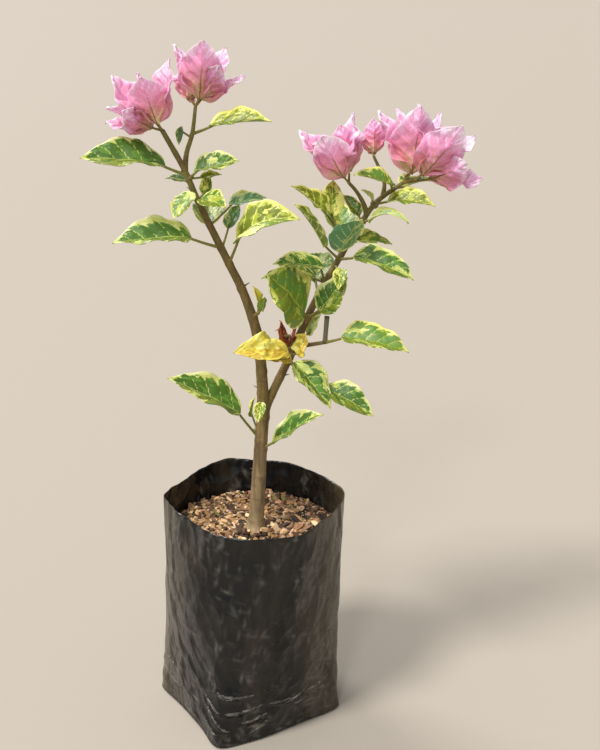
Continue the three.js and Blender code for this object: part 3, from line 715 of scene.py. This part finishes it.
boughs_shape = bmesh.new()
add_limb(boughs_shape, "stem", FORK - 0.5)
add_limb(boughs_shape, "bough", flare=1.2)
for twig in ("left_twig", "right_twig", "middle_twig"):
    add_limb(boughs_shape, twig, sides=16, flare=0.6)

# Short thorns stand over some of the leaf scars: limb, height, heading, rise and length.
THORNS = [("stem", 229, 160, 30, 5), ("stem", 298, 20, 35, 5), ("stem", 335, 200, 40, 4),
          ("stem", 358, 205, 40, 4.5), ("bough", 238, 350, 20, 4.5), ("bough", 296, 340, 20, 4),
          ("bough", 328, 350, 15, 4), ("stem", 172, 195, 35, 4)]


def heading(turn, rise):
    """The direction with this heading, 0 along +X and 90 along +Y, and this rise, in degrees."""
    turn, rise = math.radians(turn), math.radians(rise)
    return Vector((math.cos(turn) * math.cos(rise), math.sin(turn) * math.cos(rise),
                   math.sin(rise)))


def on_limb(limb, height):
    """The point of a limb's centre line at a height, and its direction there."""
    line = LIMB_LINES[limb]
    for low, high in zip(line, line[1:]):
        if high.z >= height:
            part = (height - low.z) / (high.z - low.z)
            return low.lerp(high, part), (high - low).normalized()
    return line[-1].copy(), (line[-1] - line[-2]).normalized()


for limb, height, turn, rise, length in THORNS:
    start, _ = on_limb(limb, height)
    out = heading(turn, rise)
    start = start + out * along_table(LIMB_GIRTHS[limb], height) * 0.35
    bend = Vector((0, 0, -0.12 * length))
    centres = [start + out * length * t + bend * t * t for t in (0, 0.25, 0.5, 0.75, 1)]
    tube(boughs_shape, centres, lambda row, _: 0.75 * (1 - row / 4.3) ** 0.8, 8)

boughs = finished_object("boughs_and_twigs_bark", boughs_shape,
                         [bark_finish("young_bark", BARK_STOPS)])
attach(boughs, "root")
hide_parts("left_leader", "right_bough", "left_twig", "right_twig", "middle_twig")

# ---- leaves -----------------------------------------------------------------------------
# Thin, broad, pointed leaves on short stalks, folded a little along the midrib and drooping
# to a drip tip. Each is green in uneven islands between its veins and cream or yellow at
# the margin. They spring singly or in twos from the limbs, all round the plant.
LEAF_WIDTH, LEAF_FULL, LEAF_FOLD, LEAF_BEND, LEAF_ROLL = 0.62, 0.85, 36, 18, 24
LEAF_THICK, PANELS = 0.32, 6
LEAF_COLOURS = {
    "deep": "446a20", "green": "5b8730", "blue": "528457", "grey": "82a676", "moss": "6a8626",
    "olive": "727f20", "lime": "a9b53e", "vein": "afbf66", "edge": "c6cc6e", "cream": "dadb98",
    "lemon": "ddcd55", "gold": "c9ab3e", "straw": "e0e07c", "pale": "b3c389", "under": "6f8b30",
    "under_pale": "a0b55e",
}
COLOUR_AT = {name: index for index, name in enumerate(LEAF_COLOURS)}
# Each tone: islands, their paler cells, the near flank in painted shade, veins, the rim of green and
# the margin.
TONES = {
    "green": ("deep", "green", "olive", "vein", "edge", "cream"),
    "fresh": ("green", "moss", "olive", "lime", "edge", "straw"),
    "grey": ("blue", "grey", "blue", "pale", "edge", "cream"),
    "lime": ("olive", "lime", "moss", "straw", "straw", "straw"),
    "gold": ("lemon", "straw", "gold", "gold", "lemon", "lemon"),
    "pale": ("pale", "grey", "vein", "vein", "edge", "cream"),
}
UNDERSIDE = {"deep": "under", "green": "under", "blue": "under", "grey": "under_pale",
             "moss": "under", "olive": "under", "lime": "under_pale", "vein": "under_pale",
             "edge": "edge", "cream": "edge", "lemon": "lemon", "gold": "gold",
             "straw": "straw", "pale": "under_pale"}

# How far its green reaches from the midrib toward the margin, as a share.
GREEN_SHARE = {"green": 0.84, "fresh": 0.84, "grey": 0.86, "lime": 0.86, "gold": 0.84,
               "pale": 0.45}

# Each spray: its name, limb, height, woody shoot if any, and leaves. A leaf is its stalk's
# heading, rise and length, its blade's heading, rise and length, its tone, and its own
# bend, roll, width, fold or crumple where they differ. alike gives both faces its colours.
SPRAYS = [
    ("low_left_leaves", "stem", 195, None, [
        ((208, 56, 26), (193, 31, 53), "green", dict(bend=12)),
        ((196, 70, 18), (335, 80, 14), "lime", {})]),
    ("low_right_leaf", "stem", 189, None, [((322, 32, 12), (338, 36, 43), "green", {})]),
    ("fork_leaf", "stem", 211, None, [((268, 58, 16), (256, -48, 14), "lime", dict(roll=0))]),
    ("leader_shoot_leaves", "stem", 279, (308, 35, 4), [
        ((290, 60, 5), (180, 75, 14), "gold", {}),
        ((304, 24, 6), (282, 62, 12), "fresh", {})]),
    ("arching_leaf", "stem", 314, None, [
        ((307, 57, 18), (342, 22, 46), "lime", dict(bend=84, roll=36, width=0.62))]),
    ("pale_back_leaf", "stem", 323, None, [((73, 44, 15), (48, 52, 17), "grey", {})]),
    ("left_middle_leaf", "stem", 324, None, [((203, 23, 20), (195, -1, 47), "green", {})]),
    ("left_cluster_leaves", "stem", 350, (262, 30, 4), [
        ((300, 25, 6), (318, -6, 21), "fresh", dict(roll=30, width=0.76)),
        ((225, 60, 7), (222, -44, 20), "fresh", dict(roll=0, width=0.95, fold=14))]),
    ("left_upright_leaf", "stem", 353, None, [((17, 30, 5), (66, 70, 14), "lime", {})]),
    ("grey_back_leaf", "stem", 338, None, [((51, 29, 20), (20, 7, 24), "grey", {})]),
    ("small_back_leaf", "stem", 363, None, [((110, 4, 8), (150, 0, 16), "green", {})]),
    ("yellow_edged_leaves", "stem", 366, None, [
        ((314, 38, 7), (352, 15, 28), "green", dict(roll=30, width=0.74)),
        ((332, 6, 8), (10, 8, 13), "lime", {})]),
    ("left_top_leaf", "stem", 368, None, [((199, 25, 14), (192, 7, 49), "green", {})]),
    ("left_twig_leaf", "left_twig", 391, None, [((328, 22, 14), (342, 6, 38), "lime", {})]),
    ("left_twig_small_leaf", "left_twig", 389, None, [
        ((150, 42, 9), (240, -72, 11), "grey", dict(roll=0, width=0.5))]),
    ("yellow_leaves", "bough", 252, None, [
        ((264, 22, 13), (203, 8, 37), "gold", dict(roll=-34, bend=30, crumple=0.36)),
        ((276, 0, 8), (204, 4, 16), "gold", dict(roll=-40, crumple=0.4)),
        ((306, 8, 9), (338, 72, 17), "gold", dict(roll=50, width=0.95, fold=14, crumple=0.4))]),
    ("pale_upright_leaf", "bough", 262, None, [((20, 10, 8), (14, 61, 18), "pale", {})]),
    ("right_middle_spray", "bough", 257, (342, 14, 18), [
        ((330, 25, 13), (346, -9, 43), "fresh", {})]),
    ("lower_right_leaves", "bough", 248, None, [
        ((290, 12, 11), (336, -46, 37), "green", {}),
        ((338, -30, 29), (345, -27, 36), "green", {})]),
    ("bough_front_leaves", "bough", 276, None, [
        ((259, 29, 13), (212, 47, 39), "fresh", dict(bend=26, roll=-54, width=1.16, fold=10)),
        ((326, 22, 12), (346, 64, 29), "green", dict(roll=60, width=0.6)),
        ((304, 29, 15), (352, 52, 28), "green", dict(roll=60, width=0.78, fold=14))]),
    ("bough_left_leaves", "bough", 298, None, [
        ((134, 13, 9), (185, 0, 34), "green", {}),
        ((262, 60, 13), (196, 8, 33), "green", {})]),
    ("small_folded_leaf", "bough", 309, None, [
        ((285, 5, 12), (262, -42, 16), "lime", dict(roll=0))]),
    ("tall_centre_leaf", "bough", 313, None, [
        ((228, 36, 17), (208, 54, 35), "lime", dict(roll=-20, alike=True))]),
    ("long_twig_leaves", "bough", 319, (214, 64, 15), [
        ((220, 55, 7), (190, 40, 31), "lime", dict(width=0.66, alike=True)),
        ((120, 50, 6), (82, 74, 23), "lime", dict(roll=0, width=0.8, alike=True))]),
    ("round_grey_leaf", "bough", 318, None, [
        ((256, 10, 16), (330, 54, 27), "grey", dict(roll=-24, width=0.95, fold=16, alike=True))]),
    ("right_curled_leaves", "bough", 336, None, [
        ((100, 20, 7), (150, 46, 17), "green", {}),
        ((300, 8, 8), (333, 4, 30), "pale", dict(bend=105, width=0.36))]),
    ("right_low_leaf", "bough", 313, None, [((314, 16, 13), (345, -18, 40), "green", dict(bend=30))]),
    ("right_back_leaf", "bough", 322, None, [((57, 4, 9), (20, -9, 26), "fresh", dict(alike=True))]),
    ("right_tip_leaves", "bough", 347, None, [
        ((330, 16, 9), (344, -3, 30), "lime", dict(bend=40)),
        ((262, 30, 6), (198, 41, 11), "pale", {})]),
    ("right_top_leaf", "bough", 356, None, [((266, 24, 10), (204, 17, 28), "fresh", {})]),
    ("leader_back_leaf", "stem", 330, None, [((110, 20, 14), (96, 12, 36), "green", dict(roll=0))]),
    ("bough_back_leaf", "bough", 290, None, [((98, 20, 14), (84, 14, 42), "green", dict(roll=0))]),
    ("bough_back_upper_leaf", "bough", 316, None, [
        ((80, 30, 16), (100, 24, 40), "fresh", dict(roll=0))]),
    ("tip_back_leaf", "bough", 357, None, [((60, -8, 11), (52, 0, 32), "green", dict(roll=0))]),
]


def outline(u, full):
    """Half width from the stalk (0) to the drip tip (1), as a share of the widest."""
    body = 0.06 + 0.94 * math.sin(math.pi * min(1, u) ** 0.74) ** full * (1 - 0.1 * u)
    tip = max(0, (u - 0.8) / 0.2)
    return max(0.02, body * (1 - 0.35 * tip * tip) - 0.05 * tip)


def blade(whole, root, along, face, shape, paint, chance):
    """One leaf or bract, in mm. A flat grid is swept, folded, bent and ruffled, then thickened.
    paint gives the colour of the upper and lower face at (across, along)."""
    side = face.cross(along).normalized()
    arch = math.radians(shape["bend"]) or 0.001
    fold = math.radians(shape["fold"])
    twist, phase, phase_2 = shape["twist"] * next(chance), 3 * next(chance), 3 * next(chance)
    sheet = bmesh.new()
    bmesh.ops.create_grid(sheet, x_segments=shape["columns"], y_segments=shape["rows"], size=1)
    below = sheet.faces.layers.int.new("below")
    for part in sheet.faces:
        middle = part.calc_center_median()
        part.material_index, part[below] = paint(middle.x, (middle.y + 1) / 2)
    for corner in sheet.verts:
        v, t = corner.co.x, (corner.co.y + 1) / 2
        reach = abs(v)
        u = t + shape["sweep"] * (reach + 0.5 * reach * reach) * 2.2 * t * (1 - t)
        half = shape["width"] / 2 * outline(u, shape["full"])
        slope = arch / 2 - arch * u
        forward = shape["length"] / arch * (math.sin(arch / 2) - math.sin(slope))
        lift = shape["length"] / arch * (math.cos(slope) - math.cos(arch / 2))
        normal = face * math.cos(slope) - along * math.sin(slope)
        spread = half * math.cos(fold * (1 - 0.3 * reach))
        rise = half * math.sin(fold) * (math.sqrt(v * v + 0.006) - 0.077 - 0.18 * v * v)
        rise += half * shape["cup"] * v * v
        rise += half * shape["ruffle"] * v * v * math.sin(9 * u + phase + (2 if v > 0 else 0))
        rise += half * shape["ruffle"] * 0.5 * reach ** 3 * math.sin(21 * u + phase_2 - v)
        rise += half * shape["crumple"] * noise.noise(Vector((v * 1.7 + phase, u * 4.5, phase_2)))
        rise += half * shape["crumple"] * 0.4 * noise.noise(Vector((v * 5, u * 13, phase)))
        panel = (t * PANELS + (0.5 if v < 0 else 0) - 0.5 * reach) % 1
        rise += shape["pillow"] * math.sin(math.pi * panel) * math.sin(math.pi * reach)
        turned = twist * (u - 0.3)
        x = v * spread * math.cos(turned) - rise * math.sin(turned)
        z = v * spread * math.sin(turned) + rise * math.cos(turned)
        corner.co = (root + along * forward + face * lift + side * x + normal * z) * MM
    upper = sheet.faces[:]
    top = upper[len(upper) // 2]
    top.normal_update()
    if top.normal.dot(face) < 0:
        bmesh.ops.reverse_faces(sheet, faces=upper)
    made = bmesh.ops.solidify(sheet, geom=upper, thickness=shape["thick"] * MM)
    for part in made["geom"]:
        if isinstance(part, bmesh.types.BMFace):
            part.material_index = part[below]
    sheet.faces.layers.int.remove(below)
    join_into(whole, sheet)


def leaf_paint(tone, chance, seed, near, alike):
    """The colours of one leaf: green in toothed islands between pale veins, then the margin.
    near is the side of the midrib toward the viewer, which is painted more olive, as shade.
    alike gives its underside the same colours."""
    island, cell, low, vein, rim, margin = TONES[tone]
    limits = [GREEN_SHARE[tone] + 0.1 * next(chance) for _ in range(2)]
    blotchy = 0.3 + 0.12 * next(chance)

    def paint(v, t):
        reach, flank = abs(v), int(v < 0)
        within = (t * PANELS + 0.5 * flank - 0.5 * reach) % 1
        limit = limits[flank] + 0.26 * noise.noise(Vector((t * 3.5, flank * 4, seed)))
        # Painted shade: on the flank toward the viewer the green runs nearer the margin and is olive.
        limit += 0.32 if v * near > 0 else 0
        limit += 0.16 * noise.noise(Vector((t * 11, flank * 3, seed + 3)))
        limit += 0.1 * noise.noise(Vector((t * 30, v * 4, seed + 7)))
        limit -= 0.24 * max(0, 1 - within / 0.24, 1 - (1 - within) / 0.16)
        limit *= min(1, (0.97 - t) / 0.2) * min(1, (t + 0.12) / 0.2)
        blotch = noise.noise(Vector((t * 4.4, v * 1.9, seed + 5.5)))
        cells = noise.noise(Vector((t * 9, v * 4.5, seed + 9)))
        fine = noise.noise(Vector((t * 26, v * 11, seed + 2)))
        if reach < 0.035 and t < 0.92:
            name = vein
        elif within < 0.1 - 0.05 * reach and reach < limit * 0.9 and cells + fine > -0.35:
            name = vein
        elif reach < limit - 0.07:
            name = island
            # Painted shade: the near flank's islands take its olive.
            if v * near > 0 and cells + 0.4 * fine > -0.2:
                name = low
            elif cells + 0.4 * fine > 0.16:
                name = cell
            if blotch + 0.25 * fine > blotchy:
                name = vein if cells > 0 else rim
        elif reach < limit:
            # The edge of the green on the near flank is in painted shade too.
            name = low if v * near > 0 else cell
        else:
            name = margin if reach > 0.86 + 0.3 * cells or cells + 0.3 * fine > 0.3 else rim
        return COLOUR_AT[name], COLOUR_AT[name if alike else UNDERSIDE[name]]
    return paint


STALK_COLOURS = {"leaf_stalk": "7d7a36", "rib": "a9b060", "shoot": "75653a", "stub": "6a664c"}
STALK_AT = {name: index for index, name in enumerate(STALK_COLOURS)}


def stalk(whole, start, end, sag, thick, colour, sides=8, taper=0.25):
    """A leaf or flower stalk from start to end, bowed by sag at its middle, in mm."""
    middle = start.lerp(end, 0.5) + Vector((0, 0, sag))
    steps = 9
    centres = [start * (1 - t) ** 2 + middle * 2 * t * (1 - t) + end * t * t
               for t in (step / steps for step in range(steps + 1))]
    tube(whole, centres, lambda row, _: thick / 2 * (1 + taper * (0.5 - row / steps))
         * (1 + 0.35 * math.exp(-row / 1.2)), sides, colour)


def midrib(whole, root, along, face, length, bend, thick, colour):
    """The rib that carries the stalk on along the back of a blade."""
    arch = math.radians(bend) or 0.001
    centres = []
    for step in range(13):
        u = step / 13
        slope = arch / 2 - arch * u
        centres.append(root + along * length / arch * (math.sin(arch / 2) - math.sin(slope))
                       + face * (length / arch * (math.cos(slope) - math.cos(arch / 2))
                                 - thick * 0.32))
    tube(whole, centres, lambda row, _: thick / 2 * (1 - row / 13.5), 6, colour)


def add_leaf(blades, stalks, foot, row, vary, chance, seed):
    """A leaf on its stalk. Left and right leaves roll so that their upper faces look forward."""
    (turn, rise, reach), (blade_turn, blade_rise, length), tone, own = row
    root = foot + heading(turn, rise) * reach
    along = heading(blade_turn, blade_rise)
    level = Vector((-math.sin(math.radians(blade_turn)), math.cos(math.radians(blade_turn)), 0))
    up = along.cross(level)
    lean = -LEAF_ROLL if math.cos(math.radians(blade_turn)) < 0 else LEAF_ROLL
    roll = math.radians(own.get("roll", lean)) + 0.06 * next(vary)
    face = up * math.cos(roll) - level * math.sin(roll)
    width = length * own.get("width", LEAF_WIDTH) * (1 + 0.05 * next(vary))
    bend = own.get("bend", LEAF_BEND) + 3 * next(vary)
    into = (root + along * 2.5 * math.cos(math.radians(bend / 2))
            + face * 2.5 * math.sin(math.radians(bend / 2)))
    thick = min(1.7, 1.1 + length / 80)
    stalk(stalks, foot, into, -0.6 * reach / 14, thick, STALK_AT["leaf_stalk"])
    large = length > 22
    shape = dict(length=length, width=width, full=LEAF_FULL, bend=bend,
                 fold=own.get("fold", LEAF_FOLD), twist=0.35, cup=0.0, ruffle=0.1,
                 crumple=own.get("crumple", 0.07), pillow=0.5 * length / 45, sweep=0.2,
                 thick=LEAF_THICK, rows=64 if large else 32, columns=41 if large else 23)
    # The flank toward the viewer is painted in shade.
    near = 1 if face.cross(along).y < 0 else -1
    paint = leaf_paint(tone, chance, seed, near, own.get("alike", False))
    blade(blades, root, along, face, shape, paint, chance)
    midrib(stalks, root, along, face, length, bend, thick * 0.62, STALK_AT["rib"])


# The leaves make three pieces. The last has those behind the plant and near the bough's tip.
leaf_pieces = {piece: (bmesh.new(), []) for piece in (
    "leaves_of_stem_and_leader", "leaves_of_bough", "leaves_of_bough_tip_and_back")}
leaf_stalks = bmesh.new()
TIP_AND_BACK = ("leader_back_leaf", "bough_back_leaf", "bough_back_upper_leaf", "tip_back_leaf",
                "right_low_leaf", "right_back_leaf", "right_tip_leaves", "right_top_leaf",
                "right_curled_leaves", "round_grey_leaf", "long_twig_leaves", "tall_centre_leaf")
for number, (name, limb, height, shoot, leaves) in enumerate(SPRAYS):
    vary, chance = variation(11 + number), variation(511 + number)
    piece = "leaves_of_bough" if limb == "bough" else "leaves_of_stem_and_leader"
    if name in TIP_AND_BACK:
        piece = "leaves_of_bough_tip_and_back"
    blades, nodes = leaf_pieces[piece]
    nodes.append(name)
    start, tangent = on_limb(limb, height)
    inside = along_table(LIMB_GIRTHS[limb], height) / 2
    foot = start
    if shoot:
        out = heading(shoot[0], shoot[1])
        reach = inside / max(0.3, out.cross(tangent).length) + shoot[2]
        foot = start + out * reach
        stalk(leaf_stalks, start, foot + out * 0.6, 0, 2.6, STALK_AT["shoot"], 12, 0.3)
    elif len(leaves) > 1:
        out = sum((heading(*row[0][:2]) for row in leaves), Vector()).normalized()
        reach = inside / max(0.3, out.cross(tangent).length) + 1.6
        stalk(leaf_stalks, start, start + out * reach, 0, 3.4, STALK_AT["shoot"], 12, 0.6)
    if name == "right_middle_spray":
        # A shoot broken off short stands on this one.
        stalk(leaf_stalks, foot, foot + heading(0, 86) * 17, 0, 3, STALK_AT["stub"], 12, -0.2)
    for index, row in enumerate(leaves):
        add_leaf(blades, leaf_stalks, foot, row, vary, chance, number * 7.3 + index * 2.1)

leaf_finishes = [plain_finish(f"leaf_{name}", linear(code), 0.44, Subsurface_Weight=0.12,
                              Subsurface_Scale=0.002, Subsurface_Radius=(0.9, 1, 0.35))
                 for name, code in LEAF_COLOURS.items()]
for name, (shape, nodes) in leaf_pieces.items():
    leaves = finished_object(name, shape, leaf_finishes)
    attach(leaves, "root")
    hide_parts(*nodes)
stalks = finished_object("leaf_stalks_and_shoots", leaf_stalks, [
    plain_finish(f"stalk_{name}", linear(code), 0.6) for name, code in STALK_COLOURS.items()])
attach(stalks, "root")

# ---- blossom ----------------------------------------------------------------------------
# Each blossom is three papery bracts round three small tubular flowers, on a thin stalk.
# The bracts are cream and peach at the foot and turn salmon, pink and lilac to the tip, with
# a brown midrib. They stand in loose clusters at the ends of the limbs and twigs.
BRACT_WIDTH, BRACT_FULL, BRACT_BEND, BRACT_THICK = 0.76, 0.66, 30, 0.22
BRACT_STOPS = [(0, "e0cf92"), (0.08, "e7bf98"), (0.18, "e3a297"), (0.32, "e08c98"),
               (0.46, "e388a6"), (0.6, "e68db7"), (0.74, "eaa2cd"), (0.88, "f0bce1"), (1, "f7daf2")]
BRACT_SHADES, BRACT_VEINS = 16, 6
BRACT_RIB, RIB_BROWN, VEIN_SHARES = BRACT_SHADES, "94693f", (0.88, 0.68, 0.82)


def bract_shade(at):
    """The bract's colour from its foot (0) to its tip (1), as light values."""
    for (low, first), (high, second) in zip(BRACT_STOPS, BRACT_STOPS[1:]):
        if at <= high:
            part = (at - low) / (high - low)
            return [p + (q - p) * part for p, q in zip(linear(first), linear(second))]
    return linear(BRACT_STOPS[-1][1])


FLOWER_COLOURS = {"stalk": "8a7a3a", "tube": "b98a6c", "throat": "e6dca6", "rib": "8c6a3c"}
FLOWER_AT = {name: index for index, name in enumerate(FLOWER_COLOURS)}
# Each cluster: the nodes' name, its limb, and its blossoms as the stalk's heading, rise and
# length, the blossom's heading and rise, how far it opens, its turn, its size and width.
CLUSTERS = [
    ("left_outer_blossom", "stem", [
        ((191, 13, 6), (195, 39), 38, -5, 26, None),
        ((256, 34, 8), (205, 75), 33, 155, 36, None),
        ((170, 53, 9), (172, 45), 35, 70, 27, None)]),
    ("left_inner_blossom", "left_twig", [
        ((324, 53, 5), (65, 81), 31, 157, 35, None),
        ((25, 43, 5), (10, 57), 33, 52, 28, None),
        ((122, 21, 8), (89, 51), 29, 79, 25, None)]),
    ("right_inner_blossom", "right_twig", [
        ((229, 37, 6), (180, 70), 34, -7, 38, None),
        ((76, 61, 7), (146, 63), 28, 50, 31, None)]),
    ("right_middle_blossom", "middle_twig", [((90, 60, 2), (99, 50), 27, 93, 22, None)]),
    ("right_outer_blossom", "bough", [
        ((321, 46, 8), (82, 75), 27, 156, 44, None),
        ((326, 22, 14), (10, 62), 32, 60, 42, 0.66),
        ((351, 8, 17), (352, 34), 36, 60, 31, None),
        ((50, 40, 13), (40, 52), 42, 50, 36, None)]),
]


def bract_paint(chance, seed):
    """The colours of one bract, from its foot to its tip. Its midrib is brown low down and
    rose above, and darker veins run from it to the edge."""
    shift = 0.11 * next(chance)

    def paint(v, t):
        reach = abs(v)
        cloud = noise.noise(Vector((t * 5, v * 2.6, seed)))
        grain = noise.noise(Vector((t * 37, v * 21, seed)))
        pleat = noise.noise(Vector((t * 3, math.atan2(v, t + 0.1) * 9, seed + 4)))
        within = (t * PANELS + (0.5 if v < 0 else 0) - 0.9 * reach) % 1
        at = t + 0.34 * reach ** 2 + 0.12 * cloud + 0.12 * pleat + 0.05 * grain + shift
        if reach < 0.045 and t + 0.1 * grain < 0.56:
            colour = BRACT_RIB
        elif (reach < 0.035 and t < 0.88) or (
                within < 0.12 - 0.1 * reach and t > 0.16 and reach < 0.6 + 0.2 * grain):
            colour = BRACT_RIB + 1 + round(max(0, min(1, at)) * (BRACT_VEINS - 1))
        else:
            # The veins are darker; beside each the pleat is painted lighter and across the rest
            # darker: painted light and shade of the pleats.
            at += 0.09 if within < 0.4 else -0.05
            colour = round(max(0, min(1, at)) * (BRACT_SHADES - 1))
        return colour, colour
    return paint


def small_flower(whole, root, way, inward, size, open_lobes):
    """A thin waisted tube with a knob or five short lobes at its mouth."""
    reach = size * 0.46
    centres = [root + way * reach * t + inward * (0.5 + 1.6 * t) for t in
               (step / 10 for step in range(11))]
    tube(whole, centres, lambda row, _: 0.55 + 0.35 * math.sin(math.pi * row / 6.5) ** 2
         + (0.35 if row > 8 else 0), 8, FLOWER_AT["tube"])
    if open_lobes:
        first = way.orthogonal().normalized()
        second = way.cross(first)
        for lobe in range(5):
            out = first * math.cos(lobe * 1.257) + second * math.sin(lobe * 1.257)
            tip = [centres[-1] - way * 0.5 + out * 2.4 * t + way * (1.2 * t - 0.9 * t * t)
                   for t in (0, 0.35, 0.7, 1)]
            tube(whole, tip, lambda row, _: (0.35, 0.75, 0.6, 0.2)[row], 6, FLOWER_AT["throat"])


def add_blossom(bracts, stalks, foot, row, vary, chance, seed, paint_rule):
    """Three bracts set round an axis at the end of a stalk, opening from it."""
    (turn, rise, reach), (axis_turn, axis_rise), opening, first_turn, size, wide = row
    root = foot + heading(turn, rise) * reach
    axis = heading(axis_turn, axis_rise)
    level = Vector((0, 0, 1)) if abs(axis.z) < 0.95 else Vector((0, 1, 0))
    first = level.cross(axis).normalized()
    second = axis.cross(first)
    stalk(stalks, foot, root + axis * 1.2, -0.5, 1.35, FLOWER_AT["stalk"])
    for number in range(3):
        angle = math.radians(first_turn + 120 * number) + 0.1 * next(vary)
        open_by = math.radians(opening) + 0.08 * next(vary)
        out = first * math.cos(angle) + second * math.sin(angle)
        along = axis * math.cos(open_by) + out * math.sin(open_by)
        face = axis * math.sin(open_by) - out * math.cos(open_by)
        length = size * (1 + 0.05 * next(vary))
        base = root + out * 0.8
        width = length * (wide or BRACT_WIDTH)
        shape = dict(length=length, width=width, full=BRACT_FULL, bend=-BRACT_BEND, fold=20,
                     twist=0.35, cup=0.16, ruffle=0.22, crumple=0.2, pillow=1.5, sweep=0.16,
                     thick=BRACT_THICK, rows=56, columns=33)
        blade(bracts, base, along, face, shape, paint_rule(chance, seed + number * 3.1), chance)
        midrib(stalks, base, along, face, length * 0.72, -BRACT_BEND * 0.8, 0.8, FLOWER_AT["rib"])
        small_flower(stalks, base, (axis * 0.75 + along * 0.35).normalized(), -out * 0.2, size,
                     number == 0)


left_bracts, right_bracts, flower_stalks = bmesh.new(), bmesh.new(), bmesh.new()
for number, (name, limb, blossoms) in enumerate(CLUSTERS):
    vary, chance = variation(101 + number), variation(701 + number)
    tip = LIMB_LINES[limb][-1]
    bracts = left_bracts if name.startswith("left") else right_bracts
    for index, row in enumerate(blossoms):
        add_blossom(bracts, flower_stalks, tip, row, vary, chance, number * 9.7 + index * 4.3,
                    bract_paint)

bract_colours = [bract_shade(shade / (BRACT_SHADES - 1)) for shade in range(BRACT_SHADES)]
bract_colours.append(linear(RIB_BROWN))
for shade in range(BRACT_VEINS):
    plain = bract_shade(shade / (BRACT_VEINS - 1))
    bract_colours.append([part * share for part, share in zip(plain, VEIN_SHARES)] + [1])
bract_finishes = [plain_finish(f"bract_{index}", colour, 0.6, Subsurface_Weight=0.35,
                               Subsurface_Scale=0.004, Subsurface_Radius=(1, 0.55, 0.7))
                  for index, colour in enumerate(bract_colours)]
for name, shape, nodes in (
        ("bracts_of_left_leader", left_bracts, ["left_outer_blossom", "left_inner_blossom"]),
        ("bracts_of_right_bough", right_bracts, ["right_inner_blossom", "right_middle_blossom",
                                                 "right_outer_blossom"])):
    bracts = finished_object(name, shape, bract_finishes)
    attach(bracts, "root")
    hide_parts(*nodes)
flowers = finished_object("flower_stalks_and_tubes", flower_stalks, [
    plain_finish(f"flower_{name}", linear(code), 0.6) for name, code in FLOWER_COLOURS.items()])
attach(flowers, "root")

# ---- spent blossom ----------------------------------------------------------------------
# One blossom low on the bough is over: its three bracts have shrunk to narrow brown-red
# husks that still stand together on their stalk.
HUSK_COLOURS = {"dark": "7d3823", "red": "a04e2c", "tan": "b8703f", "stalk": "75653a"}
HUSK_AT = {name: index for index, name in enumerate(HUSK_COLOURS)}
husks = bmesh.new()


def husk_paint(_, seed):
    """Brown and red in patches, and tan at the tip."""
    def paint(v, t):
        cloud = noise.noise(Vector((t * 8, v * 5, seed)))
        name = "tan" if cloud > 0.3 or t > 0.93 else ("red" if cloud > -0.05 else "dark")
        return HUSK_AT[name], HUSK_AT[name]
    return paint


husk_foot, _ = on_limb("bough", 252)
husk_stalks = bmesh.new()
add_blossom(husks, husk_stalks, husk_foot, ((212, 66, 6), (200, 84), 20, 0, 17, 0.32),
            variation(151), variation(751), 2.2, husk_paint)
for face in husk_stalks.faces:
    face.material_index = HUSK_AT["stalk"]
join_into(husks, husk_stalks)
spent = finished_object("spent_blossom_husks", husks, [
    plain_finish(f"husk_{name}", linear(code), 0.85) for name, code in HUSK_COLOURS.items()])
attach(spent, "root")
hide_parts("dried_blossom")
